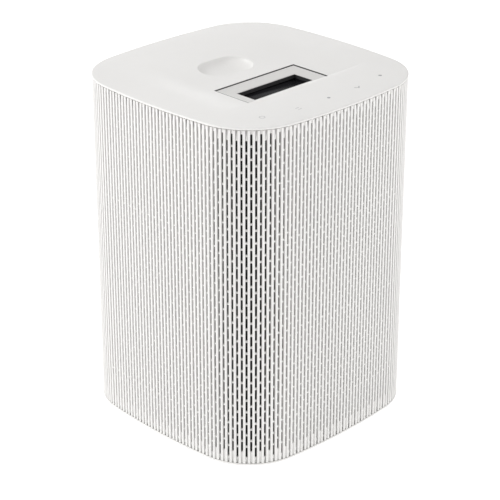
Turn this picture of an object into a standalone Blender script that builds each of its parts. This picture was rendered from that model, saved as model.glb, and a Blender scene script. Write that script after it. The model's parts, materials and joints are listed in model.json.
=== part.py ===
"""Smart speaker with an all-round slotted grille, a scooped top with a sunken display, a finger
dish and touch keys.  Inside are a woofer in a ported cabinet, firing up at a deflector, two front
tweeters, the electronics above and the power supply below.

Metres, +Z up, the origin under the middle of the feet.  The front, nearest the touch keys, is -Y.
"""
from math import atan2, cos, pi, radians, sin, sqrt

import bmesh
import bpy
from mathutils import Matrix, Vector

MM = 0.001
GAP = 0.3 * MM                  # air between two pieces that touch on the real object

# ---- driving dimensions of the outside ----
BODY_HALF = 90 * MM             # half the width and half the depth
BODY_HEIGHT = 244 * MM
TOP = BODY_HEIGHT / MM          # the same, for the functions that take millimetres
CORNER_RADIUS = 44 * MM
SIDE_TURN = radians(5.8)        # each bowed side turns this far to either side of its middle
BASE_BOTTOM = 1.2 * MM          # the feet hold the base this far up
BASE_EDGE_TOP = 2.8 * MM
SLEEVE_BOTTOM = BASE_EDGE_TOP + GAP
SLEEVE_TOP = BODY_HEIGHT - 1.9 * MM
SLEEVE_INSET = 0.2 * MM         # the ribs' crests sit just inside the cover's edge
SLEEVE_WALL = 2.2 * MM
COVER_EDGE_BOTTOM = BODY_HEIGHT - 1.4 * MM
COVER_UNDERSIDE = BODY_HEIGHT - 2.5 * MM
COVER_SKIRT = 10 * MM           # how far the rim under the cover reaches down
COVER_EDGE_ROUND = 0.8 * MM
RIM_INSET = 3.6 * MM            # the outside of the locating rims on the base and the cover
RIM_WALL = 2 * MM
BASE_RIM_TOP = 14 * MM
BASE_FLOOR = 5.2 * MM

# ---- the scoop in the cover, its window and its finger dish ----
SCOOP_DEPTH = 3.3 * MM
SCOOP_FLOOR = BODY_HEIGHT - SCOOP_DEPTH
SCOOP_FRONT = -42 * MM          # the step up to the strip with the touch keys
SCOOP_BACK = 84 * MM
SCOOP_SIDE = 66 * MM
COVER_WALL = 2.5 * MM
WINDOW_HALF = 37.4 * MM
WINDOW_FRONT = -41.8 * MM
WINDOW_BACK = -4.1 * MM
BEZEL_GAP = 0.8 * MM
SLOT_HALF = 27.2 * MM
SLOT_MIDDLE = -23.7 * MM
SLOT_HALF_DEPTH = 8.5 * MM
DISH_MIDDLE = 23.5 * MM
DISH_LENGTH = 41 * MM
DISH_WIDTH = 27 * MM
DISH_RIM = BODY_HEIGHT - 2.2 * MM
DISH_DEPTH = 5 * MM

# ---- the loudspeaker cabinet and the frame above it ----
CABINET_HALF = 76 * MM
CABINET_RADIUS = 24 * MM
CABINET_BOTTOM = 42 * MM
CABINET_TOP = 171 * MM
CABINET_WALL = 3 * MM
LID_BOTTOM = CABINET_TOP + 1.4 * MM
LID_TOP = LID_BOTTOM + 4 * MM
TRAY_BOTTOM = 206 * MM
TRAY_TOP = TRAY_BOTTOM + 3 * MM
TRAY_HALF = 72 * MM
TRAY_RADIUS = 22 * MM
BASE_POSTS = 50 * MM            # the posts stand at plus and minus this in X and in Y
FEET_PLACES = 63 * MM
LID_SCREWS = 64 * MM
FRAME_POSTS = (66 * MM, 36 * MM)
COVER_POSTS = (62 * MM, 52 * MM)
WOOFER_SCREW_CIRCLE = 58.5 * MM
TWEETER_X = 34 * MM
TWEETER_Z = 146 * MM
PORT_Z = 68 * MM

# ---- the recess for the mains lead, under the base ----
RECESS_HALF = 15 * MM
RECESS_FRONT = 38 * MM
RECESS_BACK = 76 * MM
RECESS_TOP = 19 * MM
CHANNEL_HALF = 5.4 * MM
CHANNEL_TOP = 8.2 * MM
INLET_Z = 11.65 * MM

# ---- circuit boards ----
BOARD = 1.6 * MM
MAIN_BOARD_Z = TRAY_TOP + 4 * MM
POWER_BOARD_Z = 9 * MM
MAIN_BOARD_HOLES = ((-46, -22), (46, -22), (-46, 48), (46, 48))
POWER_BOARD_HOLES = ((-38, -57), (38, -57), (-38, 5), (38, 5))
DISPLAY_SCREWS = ((-47, -23), (47, -23))

ROUND_STEPS = 24
SMALL_STEPS = 10

FINISHES = {                    # base colour, roughness, metallic
    "shell_white": ((0.86, 0.85, 0.83), 0.5, 0.0),
    "bezel_white": ((0.78, 0.77, 0.75), 0.55, 0.0),
    "black_cloth": ((0.02, 0.02, 0.02), 0.95, 0.0),
    "black_plastic": ((0.03, 0.03, 0.032), 0.5, 0.0),
    "lens_glass": ((0.01, 0.01, 0.012), 0.08, 0.0),
    "grey_rubber": ((0.35, 0.35, 0.35), 0.8, 0.0),
    "dark_rubber": ((0.03, 0.03, 0.03), 0.75, 0.0),
    "board_green": ((0.03, 0.16, 0.08), 0.45, 0.0),
    "steel": ((0.62, 0.62, 0.63), 0.35, 1.0),
    "aluminium": ((0.75, 0.75, 0.76), 0.4, 1.0),
    "ferrite": ((0.08, 0.08, 0.085), 0.7, 0.0),
    "paper_cone": ((0.05, 0.05, 0.055), 0.9, 0.0),
    "amber_cloth": ((0.55, 0.33, 0.10), 0.9, 0.0),
    "copper": ((0.72, 0.36, 0.18), 0.35, 1.0),
    "brass": ((0.75, 0.58, 0.25), 0.3, 1.0),
    "grey_foam": ((0.22, 0.22, 0.23), 0.98, 0.0),
}


# ---------------------------------------------------------------- helpers

def clear_scene():
    for item in list(bpy.data.objects):
        bpy.data.objects.remove(item, do_unlink=True)


def finish_material(name):
    """The material of that finish, made the first time that it is asked for."""
    material = bpy.data.materials.get(name)
    if material is None:
        colour, roughness, metallic = FINISHES[name]
        material = bpy.data.materials.new(name)
        material.use_nodes = True
        shader = material.node_tree.nodes["Principled BSDF"]
        shader.inputs["Base Color"].default_value = (*colour, 1.0)
        shader.inputs["Roughness"].default_value = roughness
        shader.inputs["Metallic"].default_value = metallic
        material.diffuse_color = (*colour, 1.0)
    return material


def make_object(name, bm, finish, smooth=0.0):
    """An object from a bmesh with its faces pointing out; smooth is the sharpest smoothed angle."""
    bmesh.ops.recalc_face_normals(bm, faces=bm.faces[:])
    mesh = bpy.data.meshes.new(name)
    bm.to_mesh(mesh)
    bm.free()
    mesh.materials.append(finish_material(finish))
    if smooth:
        mesh.shade_smooth()
        mesh.set_sharp_from_angle(angle=smooth)
    item = bpy.data.objects.new(name, mesh)
    bpy.context.scene.collection.objects.link(item)
    return item


def combine(target, tool, operation):
    """Unite the target with the tool, or cut the tool out of it, and drop the tool."""
    modifier = target.modifiers.new(operation.lower(), "BOOLEAN")
    modifier.operation = operation
    modifier.solver = "EXACT"
    modifier.object = tool
    bpy.context.view_layer.update()
    seen = target.evaluated_get(bpy.context.evaluated_depsgraph_get())
    mesh = bpy.data.meshes.new_from_object(seen)
    target.modifiers.clear()
    target.data = mesh
    bpy.data.objects.remove(tool, do_unlink=True)


def cut(target, *tools):
    for tool in tools:
        combine(target, tool, "DIFFERENCE")


def unite(target, *pieces):
    for piece in pieces:
        combine(target, piece, "UNION")


def loft(name, loops, finish="steel", smooth=0.0, closed=False):
    """Skin a row of loops with equally many points, capped at both ends unless closed."""
    bm = bmesh.new()
    rows = [[bm.verts.new(point) for point in loop] for loop in loops]
    count = len(rows[0])
    pairs = list(zip(rows, rows[1:]))
    if closed:
        pairs.append((rows[-1], rows[0]))
    for lower, upper in pairs:
        for i in range(count):
            j = (i + 1) % count
            bm.faces.new((lower[i], lower[j], upper[j], upper[i]))
    if not closed:
        bm.faces.new(rows[0])
        bm.faces.new(rows[-1])
    return make_object(name, bm, finish, smooth)


def at_height(points, z):
    return [(x, y, z) for x, y in points]


def block(name, low, high, finish="steel"):
    """A box between two corners in millimetres."""
    low, high = Vector(low) * MM, Vector(high) * MM
    bm = bmesh.new()
    bmesh.ops.create_cube(bm, size=1.0)
    bmesh.ops.scale(bm, vec=high - low, verts=bm.verts)
    bmesh.ops.translate(bm, vec=(low + high) / 2, verts=bm.verts)
    return make_object(name, bm, finish)


def turned(name, profile, finish="steel", steps=ROUND_STEPS, smooth=radians(35)):
    """Turn a profile of (radius, height) in millimetres about Z.

    A profile that starts and ends on the axis makes a solid of one skin; any other is closed
    into a loop and makes a ring.
    """
    bm = bmesh.new()
    spots = [bm.verts.new((r * MM, 0.0, z * MM)) for r, z in profile]
    edges = [bm.edges.new(pair) for pair in zip(spots, spots[1:])]
    if profile[0][0] > 0 or profile[-1][0] > 0:
        edges.append(bm.edges.new((spots[-1], spots[0])))
    bmesh.ops.spin(bm, geom=spots + edges, cent=(0, 0, 0), axis=(0, 0, 1), angle=2 * pi,
                   steps=steps, use_merge=True)
    bmesh.ops.remove_doubles(bm, verts=bm.verts, dist=1e-6)
    return make_object(name, bm, finish, smooth)


def rod(name, x, y, low, high, radius, finish="steel", steps=SMALL_STEPS):
    """An upright round rod, all in millimetres."""
    item = turned(name, [(0, low), (radius, low), (radius, high), (0, high)], finish, steps)
    item.data.transform(Matrix.Translation((x * MM, y * MM, 0)))
    return item


def body_outline(inset=0.0, side_steps=4, corner_steps=7):
    """The plan outline of the body, moved inwards: four bowed sides that run into round corners."""
    spread = cos(SIDE_TURN) - sin(SIDE_TURN)
    side_radius = (BODY_HALF - CORNER_RADIUS * spread) / (1 - spread)
    side_centre = BODY_HALF - side_radius
    corner_centre = (side_radius - CORNER_RADIUS) * sin(SIDE_TURN)
    quarter = []
    for i in range(side_steps):
        angle = SIDE_TURN * (2 * i / side_steps - 1)
        reach = side_radius - inset
        quarter.append((side_centre + reach * cos(angle), reach * sin(angle)))
    for i in range(corner_steps):
        angle = SIDE_TURN + (pi / 2 - 2 * SIDE_TURN) * i / corner_steps
        reach = CORNER_RADIUS - inset
        quarter.append((corner_centre + reach * cos(angle), corner_centre + reach * sin(angle)))
    points = []
    for turn in range(4):
        c, s = cos(turn * pi / 2), sin(turn * pi / 2)
        points += [(x * c - y * s, x * s + y * c) for x, y in quarter]
    return points


def body_stack(name, steps, finish, closed=False):
    """A solid of body outlines, each given by its inset and its height."""
    return loft(name, [at_height(body_outline(inset), z) for inset, z in steps], finish,
                radians(30), closed)


def rounded_square(half, radius, corner_steps=4):
    points = []
    for quarter in range(4):
        for i in range(corner_steps + 1):
            angle = (quarter + i / corner_steps) * pi / 2
            side = (half - radius) * sqrt(2)
            middle = quarter * pi / 2 + pi / 4
            points.append((side * cos(middle) + radius * cos(angle),
                           side * sin(middle) + radius * sin(angle)))
    return points


def rectangle(half_x, front, back):
    return [(-half_x, front), (half_x, front), (half_x, back), (-half_x, back)]


def stadium(length, width, middle_y, corner_steps=6):
    """A long round-ended outline along X."""
    points = []
    for side in (1, -1):
        for i in range(corner_steps + 1):
            angle = (-pi / 2 + pi * i / corner_steps) + (0 if side > 0 else pi)
            points.append((side * (length - width) / 2 + width / 2 * cos(angle),
                           middle_y + width / 2 * sin(angle)))
    return points


def corners(x, y):
    return [(sx * x, sy * y) for sy in (-1, 1) for sx in (-1, 1)]


def screw(name, x, y, head_z, tip_z, head=(3.0, 2.4), shank=1.5):
    """A screw driven from below, in millimetres; head_z is where its head bears."""
    radius, height = head
    item = turned(name, [(0, head_z - height), (radius * 0.85, head_z - height),
                         (radius, head_z - height * 0.8), (radius, head_z), (shank, head_z),
                         (shank, tip_z - shank * 0.6), (shank * 0.4, tip_z), (0, tip_z)],
                  "steel", SMALL_STEPS)
    item.location = (x * MM, y * MM, 0)


# ---------------------------------------------------------------- shell

def scoop_solid(name, floor, grow):
    """The wedge-sided space of the scoop, with its floor at a height and its sides grown out."""
    side_flat, back_flat = 40 * MM, WINDOW_BACK
    above = 1 * MM
    rise = BODY_HEIGHT + above - floor
    depth = BODY_HEIGHT - SCOOP_FLOOR
    side_run = (SCOOP_SIDE - side_flat) / depth * rise
    back_run = (SCOOP_BACK - back_flat) / depth * rise
    low = rectangle(side_flat + grow, SCOOP_FRONT - grow, back_flat + grow)
    high = rectangle(side_flat + side_run + grow, SCOOP_FRONT - grow, back_flat + back_run + grow)
    return loft(name, [at_height(low, floor), at_height(high, BODY_HEIGHT + above)])


def dish_bowl(name, grow, top, deepen):
    """The finger dish as a solid bowl, grown by the cover's wall for its outside."""
    loops = []
    for share in (0.0, 0.35, 0.7, 1.0):
        shrink = (1 - sqrt(1 - (share * 0.92) ** 2)) * DISH_WIDTH
        length = DISH_LENGTH + 2 * grow - shrink
        width = DISH_WIDTH + 2 * grow - shrink
        loops.append(at_height(stadium(length, width, DISH_MIDDLE),
                               DISH_RIM - share * DISH_DEPTH - deepen))
    mouth = stadium(DISH_LENGTH + 2 * grow, DISH_WIDTH + 2 * grow, DISH_MIDDLE)
    return loft(name, [at_height(mouth, top)] + loops)


def make_cover():
    inner = RIM_INSET + RIM_WALL
    rim_bottom = BODY_HEIGHT - COVER_SKIRT
    edge = COVER_EDGE_ROUND
    cover = body_stack("top_cover", [
        (inner, COVER_UNDERSIDE), (inner, rim_bottom), (RIM_INSET, rim_bottom),
        (RIM_INSET, COVER_EDGE_BOTTOM), (0, COVER_EDGE_BOTTOM), (0, BODY_HEIGHT - edge),
        (0.3 * edge, BODY_HEIGHT - 0.3 * edge), (edge, BODY_HEIGHT)], "shell_white")
    pan = scoop_solid("pan", SCOOP_FLOOR - COVER_WALL, COVER_WALL)
    middle_of_rim = RIM_INSET + RIM_WALL / 2
    combine(pan, body_stack("bounds", [(middle_of_rim, BODY_HEIGHT - 22 * MM),
                                       (middle_of_rim, BODY_HEIGHT - 2 * MM)], "shell_white"),
            "INTERSECT")
    dish_wall = 2 * MM
    unite(cover, pan, dish_bowl("dish_pan", dish_wall, BODY_HEIGHT - 3 * MM, dish_wall))
    frame_posts = corners(*(v / MM for v in COVER_POSTS))
    posts = [(x, y, TRAY_TOP / MM + 0.3, 4.5, TOP - 1.8) for x, y in frame_posts]
    posts += [(x, y, TOP - 13.4, 3.5, TOP - 4) for x, y in DISPLAY_SCREWS]
    for x, y, low, radius, high in posts:
        unite(cover, rod("post", x, y, low, high, radius))
    above = BODY_HEIGHT + 3 * MM
    cut(cover, scoop_solid("scoop", SCOOP_FLOOR, 0.0), dish_bowl("dish", 0.0, above, 0.0))
    window = rectangle(WINDOW_HALF, WINDOW_FRONT, WINDOW_BACK)
    cut(cover, loft("window", [at_height(window, SCOOP_FLOOR - 12 * MM), at_height(window, above)]))
    for x, y in frame_posts:
        cut(cover, rod("hole", x, y, TRAY_BOTTOM / MM, TOP - 17, 1.8))
    for x, y in DISPLAY_SCREWS:
        cut(cover, rod("hole", x, y, TOP - 16, TOP - 6.4, 1.6))


def make_sleeve():
    """The grille sleeve and the black cloth behind it, both open at the cord's way out."""
    inner = SLEEVE_INSET + SLEEVE_WALL
    cloth = inner + GAP
    layers = (("grille_sleeve", SLEEVE_INSET, inner, SLEEVE_TOP, "shell_white"),
              ("acoustic_scrim", cloth, cloth + 0.6 * MM, SLEEVE_TOP - GAP, "black_cloth"))
    for name, outside, inside, top, finish in layers:
        layer = body_stack(name, [(outside, SLEEVE_BOTTOM), (outside, top), (inside, top),
                                  (inside, SLEEVE_BOTTOM)], finish, closed=True)
        half = CHANNEL_HALF / MM
        cut(layer, block("notch", (-half, 70, -1), (half, 100, 8.5)))


def make_base():
    inner = RIM_INSET + RIM_WALL
    base = body_stack("base_plate", [
        (0.5 * MM, BASE_BOTTOM), (0, 1.7 * MM), (0, BASE_EDGE_TOP), (RIM_INSET, BASE_EDGE_TOP),
        (RIM_INSET, BASE_RIM_TOP), (inner, BASE_RIM_TOP), (inner, BASE_FLOOR)], "shell_white")
    post = BASE_POSTS / MM
    for x, y in corners(post, post):
        unite(base, rod("post", x, y, 4, 41.7, 6))
    for x, y in POWER_BOARD_HOLES:
        unite(base, rod("standoff", x, y, 4, 8.7, 3.2))
    unite(base, block("recess_box", (-17, 36, 4), (17, 78, 21)),
          block("channel_roof", (-7.4, 77, 4), (7.4, 85.5, 10.2)))
    side, front, back = RECESS_HALF / MM, RECESS_FRONT / MM, RECESS_BACK / MM
    half, channel_top = CHANNEL_HALF / MM, CHANNEL_TOP / MM
    cut(base, block("recess", (-side, front, -1), (side, back, RECESS_TOP / MM)),
        block("channel", (-half, back - 1, -1), (half, 100, channel_top)),
        block("inlet_window", (-10.3, 35, 6), (10.3, 39, 17.3)))
    for x, y in corners(post, post):
        cut(base, rod("screw_hole", x, y, 20, 45, 1.9), rod("head_hole", x, y, -1, 30, 3.6))
    for x, y in POWER_BOARD_HOLES:
        cut(base, rod("screw_hole", x, y, 3.7, 12, 1.6))
    for x, y in corners(FEET_PLACES / MM, FEET_PLACES / MM):
        cut(base, rod("foot_socket", x, y, -1, 3.3, 11.3, steps=18))


def make_base_screws():
    post = BASE_POSTS / MM
    for number, (x, y) in enumerate(corners(post, post), 1):
        screw(f"base_screw_{number}", x, y, 29.7, 51)


def make_feet():
    places = zip(("foot_front_left", "foot_front_right", "foot_rear_left", "foot_rear_right"),
                 corners(FEET_PLACES / MM, FEET_PLACES / MM))
    for name, (x, y) in places:
        foot = turned(name, [(0, 0), (10.4, 0), (11, 0.6), (11, 3), (0, 3)], "grey_rubber", 18)
        foot.location = (x * MM, y * MM, 0)


# ---------------------------------------------------------------- display and touch keys

def make_display():
    outer_half = WINDOW_HALF - BEZEL_GAP
    front, back = SCOOP_FRONT + BEZEL_GAP, WINDOW_BACK - BEZEL_GAP
    slot = rectangle(SLOT_HALF, SLOT_MIDDLE - SLOT_HALF_DEPTH, SLOT_MIDDLE + SLOT_HALF_DEPTH)
    frame = rectangle(outer_half, front, back)
    bezel_bottom, bezel_top, lip = (SCOOP_FLOOR - d * MM for d in (2.1, 0.5, 1.7))
    loft("display_bezel", [at_height(frame, bezel_bottom), at_height(frame, bezel_top),
                           at_height(slot, lip), at_height(slot, bezel_bottom)],
         "bezel_white", closed=True)
    flange = rectangle(41 * MM, -45 * MM, -2 * MM)
    raised = rectangle(36 * MM, -40.6 * MM, -5.5 * MM)
    hole = rectangle(SLOT_HALF + 0.15 * MM, SLOT_MIDDLE - SLOT_HALF_DEPTH - 0.15 * MM,
                     SLOT_MIDDLE + SLOT_HALF_DEPTH + 0.15 * MM)
    bottom, step, top = (SCOOP_FLOOR - d * MM for d in (4.8, 2.8, 2.4))
    loft("display_shroud", [at_height(flange, bottom), at_height(flange, step),
                            at_height(raised, step), at_height(raised, top),
                            at_height(hole, top), at_height(hole, bottom)],
         "black_plastic", closed=True)
    block("display_lens", (-30.5, -38, TOP - 9.9), (30.5, -9.5, TOP - 8.4), "lens_glass")
    block("display_panel", (-31, -38, TOP - 13.4), (31, -10, TOP - 10.2), "black_plastic")
    holder = block("display_holder", (-51, -38, TOP - 15.7), (51, -8, TOP - 13.7), "black_plastic")
    for x, y in DISPLAY_SCREWS:
        cut(holder, rod("hole", x, y, TOP - 22, TOP - 10, 1.6))


def make_ribbon():
    """The flat lead from the display's back edge down to its connector on the main board."""
    thickness, half_width, bend = 0.4, 7, 2.5
    start, drop, top, bottom = -9.7, -3.0, TOP - 11.8, MAIN_BOARD_Z / MM + 4.7
    middle = [(start, top)]
    for i in range(6):
        angle = pi / 2 * (1 - i / 5)
        middle.append((drop - bend + bend * cos(angle), top - bend + bend * sin(angle)))
    middle.append((drop, bottom))
    loops = []
    for i, (y, z) in enumerate(middle):
        before, after = middle[max(i - 1, 0)], middle[min(i + 1, len(middle) - 1)]
        along = atan2(after[1] - before[1], after[0] - before[0])
        dy, dz = -sin(along) * thickness / 2, cos(along) * thickness / 2
        ring = [(-half_width, y - dy, z - dz), (half_width, y - dy, z - dz),
                (half_width, y + dy, z + dz), (-half_width, y + dy, z + dz)]
        loops.append([tuple(v * MM for v in point) for point in ring])
    loft("display_ribbon", loops, "amber_cloth")


# ---------------------------------------------------------------- electronics

def board(name, low, high, holes):
    plate = block(name, low, high, "board_green")
    for x, y in holes:
        cut(plate, rod("hole", x, y, low[2] - 2, high[2] + 2, 1.6))


def comb(name, low, high, fins, fin_width, floor):
    """A heat sink: a floor with upright fins that run along Y."""
    pitch = (high[0] - low[0] - fin_width) / (fins - 1)
    outline = [(low[0], low[2]), (high[0], low[2])]
    for i in reversed(range(fins)):
        left = low[0] + i * pitch
        outline += [(left + fin_width, high[2]), (left, high[2])]
        if i:
            outline += [(left, low[2] + floor), (left - pitch + fin_width, low[2] + floor)]
    ends = [[(x * MM, y * MM, z * MM) for x, z in outline] for y in (low[1], high[1])]
    return loft(name, ends, "aluminium")


def make_electronics():
    z = MAIN_BOARD_Z / MM
    top = z + BOARD / MM + GAP / MM
    board("main_board", (-52, -28, z), (52, 54, z + BOARD / MM), MAIN_BOARD_HOLES)
    comb("heat_sink", (-40, 10, top), (-4, 44, TOP - 14), 7, 1.6, 3)
    block("shield_can", (6, 12, top), (38, 44, top + 3.5), "steel")
    block("wireless_module", (20, -18, top), (44, 4, top + 2.5), "steel")
    tray = TRAY_TOP / MM + GAP / MM
    block("antenna_left", (-69.4, -14, tray), (-68.4, 14, tray + 18), "board_green")
    block("antenna_right", (68.4, -14, tray), (69.4, 14, tray + 18), "board_green")
    block("microphone_board", (-14, -69.4, tray), (14, -68.4, tray + 13), "board_green")
    block("touch_board", (-60, -76, TOP - 4), (60, -60, TOP - 2.8), "board_green")


def make_power_supply():
    z = POWER_BOARD_Z / MM
    top = z + BOARD / MM + GAP / MM
    board("power_board", (-43, -62, z), (43, 10, z + BOARD / MM), POWER_BOARD_HOLES)
    block("power_transformer", (-30, -42, top), (-2, -14, 34), "ferrite")
    for name, x in (("capacitor_left", 14), ("capacitor_right", 34)):
        rod(name, x, -30, top, 36, 8, "black_plastic", 20)
    inlet = block("mains_inlet", (-10, 18, 6.3), (10, 37.7, 17), "black_plastic")
    mouth = stadium(16.4 * MM, 8 * MM, INLET_Z, 4)
    cut(inlet, loft("mouth", [[(x, y, z) for x, z in mouth] for y in (27.7 * MM, 40 * MM)]))
    for side, x in (("left", -4.3), ("right", 4.3)):
        hole = turned("pin_hole", [(0, -30), (1.5, -30), (1.5, 30), (0, 30)], steps=SMALL_STEPS)
        pin = turned(f"inlet_pin_{side}", [(0, -19.5), (1.2, -19.5), (1.2, 0.2), (0.8, 0.8),
                                           (0, 0.8)], "brass", SMALL_STEPS)
        for piece in (hole, pin):
            piece.data.transform(Matrix.Translation((x * MM, 35.4 * MM, INLET_Z))
                                 @ Matrix.Rotation(-pi / 2, 4, "X"))
        cut(inlet, hole)


def smooth_route(points, steps):
    """Points on a smooth curve through the given ones."""
    ends = [Vector(p) * MM for p in (points[0], *points, points[-1])]
    route = []
    for i in range(1, len(ends) - 2):
        a, b, c, d = ends[i - 1:i + 3]
        for k in range(steps):
            t = k / steps
            route.append(0.5 * (2 * b + (c - a) * t + (2 * a - 5 * b + 4 * c - d) * t ** 2
                                + (3 * b - a - 3 * c + d) * t ** 3))
    return route + [ends[-1]]


def make_wiring():
    """The power lead up the back of the cabinet, and the plugs that it and the ribbon go into."""
    curve = bpy.data.curves.new("wiring_harness", "CURVE")
    curve.dimensions = "3D"
    curve.bevel_depth = 1.8 * MM
    curve.bevel_resolution = 2
    curve.use_fill_caps = True
    board = MAIN_BOARD_Z / MM
    route = smooth_route([(26, 8.4, 14), (26, 20, 15), (29, 46, 24), (31, 68, 31), (32, 79, 44),
                          (32, 80.5, 70), (32, 80.5, 120), (32, 80.5, board - 41),
                          (32, 79.5, board - 7), (31, 73, board + 4), (30, 62, board + 6),
                          (30, 52.4, board + 5)], 3)
    spline = curve.splines.new("POLY")
    spline.points.add(len(route) - 1)
    for point, place in zip(spline.points, route):
        point.co = (*place, 1.0)
    curve.materials.append(finish_material("dark_rubber"))
    lead = bpy.data.objects.new("wiring_harness", curve)
    bpy.context.scene.collection.objects.link(lead)
    on_board = (MAIN_BOARD_Z + BOARD + GAP) / MM
    block("ribbon_socket", (-8, -6, on_board), (8, 0, on_board + 2.5), "black_plastic")
    block("harness_plug_low", (21, 1, 10.9), (31, 8, 16.9), "black_plastic")
    block("harness_plug_high", (25, 46, on_board), (35, 52, on_board + 6), "black_plastic")


# ---------------------------------------------------------------- cabinet and frame

def make_cabinet():
    outer = rounded_square(CABINET_HALF, CABINET_RADIUS)
    inner = rounded_square(CABINET_HALF - CABINET_WALL, CABINET_RADIUS - CABINET_WALL)
    floor = CABINET_BOTTOM + 3.5 * MM
    cabinet = loft("speaker_cabinet", [
        at_height(outer, CABINET_BOTTOM), at_height(outer, CABINET_TOP),
        at_height(inner, CABINET_TOP), at_height(inner, floor)], "black_plastic", radians(30))
    post, lid, rim = BASE_POSTS / MM, LID_SCREWS / MM, CABINET_TOP / MM
    for x, y in corners(post, post):
        unite(cabinet, rod("boss", x, y, 44, 55, 5))
    for x, y in corners(lid, lid):
        unite(cabinet, rod("boss", x, y, rim - 29, rim - 0.01, 5))
    for x, y in corners(post, post):
        cut(cabinet, rod("hole", x, y, 40, 52, 1.8))
    for x, y in corners(lid, lid):
        cut(cabinet, rod("hole", x, y, rim - 17, rim + 6, 1.8))
    for x in (-TWEETER_X, TWEETER_X):
        cut(cabinet, along_y(turned("hole", [(0, -8), (15.3, -8), (15.3, 8), (0, 8)]),
                             x, -CABINET_HALF, TWEETER_Z))
    cut(cabinet, along_y(turned("hole", [(0, -8), (15.3, -8), (15.3, 8), (0, 8)]),
                         0, CABINET_HALF, PORT_Z))
    loft("cabinet_gasket", [at_height(outer, CABINET_TOP + GAP),
                            at_height(outer, LID_BOTTOM - GAP),
                            at_height(inner, LID_BOTTOM - GAP),
                            at_height(inner, CABINET_TOP + GAP)], "dark_rubber", closed=True)
    block("damping_foam", (-50, 57, 90), (50, 72, 130), "grey_foam")


def along_y(piece, x, y, z):
    """Lay a turned piece down so that its top faces the front, and put it in place."""
    piece.data.transform(Matrix.Rotation(pi / 2, 4, "X"))
    piece.location = (x, y, z)
    return piece


def make_lid():
    outer = rounded_square(CABINET_HALF, CABINET_RADIUS)
    lid = loft("cabinet_lid", [at_height(outer, LID_BOTTOM), at_height(outer, LID_TOP)],
               "black_plastic", radians(30))
    low, high = LID_BOTTOM / MM - 2, LID_TOP / MM + 2
    cut(lid, rod("woofer_hole", 0, 0, low, high, 50, steps=ROUND_STEPS))
    side = LID_SCREWS / MM
    frame_x, frame_y = (v / MM for v in FRAME_POSTS)
    for x, y in corners(side, side) + corners(frame_x, frame_y) + woofer_screw_places():
        cut(lid, rod("hole", x, y, low, high, 1.8))


def woofer_screw_places():
    reach = WOOFER_SCREW_CIRCLE / MM / sqrt(2)
    return corners(reach, reach)


def make_port():
    """The bass-reflex port: a flared tube through the cabinet's back wall."""
    port = turned("reflex_port", [(13, -2), (14, -2.6), (19, -2.6), (19, -0.3), (15, -0.3),
                                  (15, 44), (13, 44)], "black_plastic", 20)
    along_y(port, 0, CABINET_HALF, PORT_Z)


def make_frame():
    outer = rounded_square(TRAY_HALF, TRAY_RADIUS)
    frame = loft("upper_frame", [at_height(outer, TRAY_BOTTOM), at_height(outer, TRAY_TOP)],
                 "black_plastic", radians(30))
    frame_x, frame_y = (v / MM for v in FRAME_POSTS)
    bottom, top = TRAY_BOTTOM / MM, TRAY_TOP / MM
    for x, y in corners(frame_x, frame_y):
        unite(frame, rod("post", x, y, LID_TOP / MM + 0.3, bottom + 1, 4.5))
    for x, y in MAIN_BOARD_HOLES:
        unite(frame, rod("standoff", x, y, top - 1, top + 3.7, 3.2))
    for x, y in corners(frame_x, frame_y):
        cut(frame, rod("hole", x, y, LID_BOTTOM / MM, top + 5, 1.8))
    for x, y in corners(*(v / MM for v in COVER_POSTS)):
        cut(frame, rod("hole", x, y, bottom - 4, top + 5, 1.8))
    for x, y in MAIN_BOARD_HOLES:
        cut(frame, rod("hole", x, y, bottom + 1.6, top + 5, 1.6))
    profile = [(0, 16), (5, 15.6), (14, 12.6), (32, 6), (52, 2.4), (56, 1.8), (56, 0.3), (0, 0.3)]
    turned("sound_deflector", [(r, bottom - drop) for r, drop in profile], "black_plastic")


# ---------------------------------------------------------------- drive units

def shell(line, thickness):
    """A profile loop round a line of (radius, height) points, thickened upwards."""
    return line + [(r, z + thickness) for r, z in reversed(line)]


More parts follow.
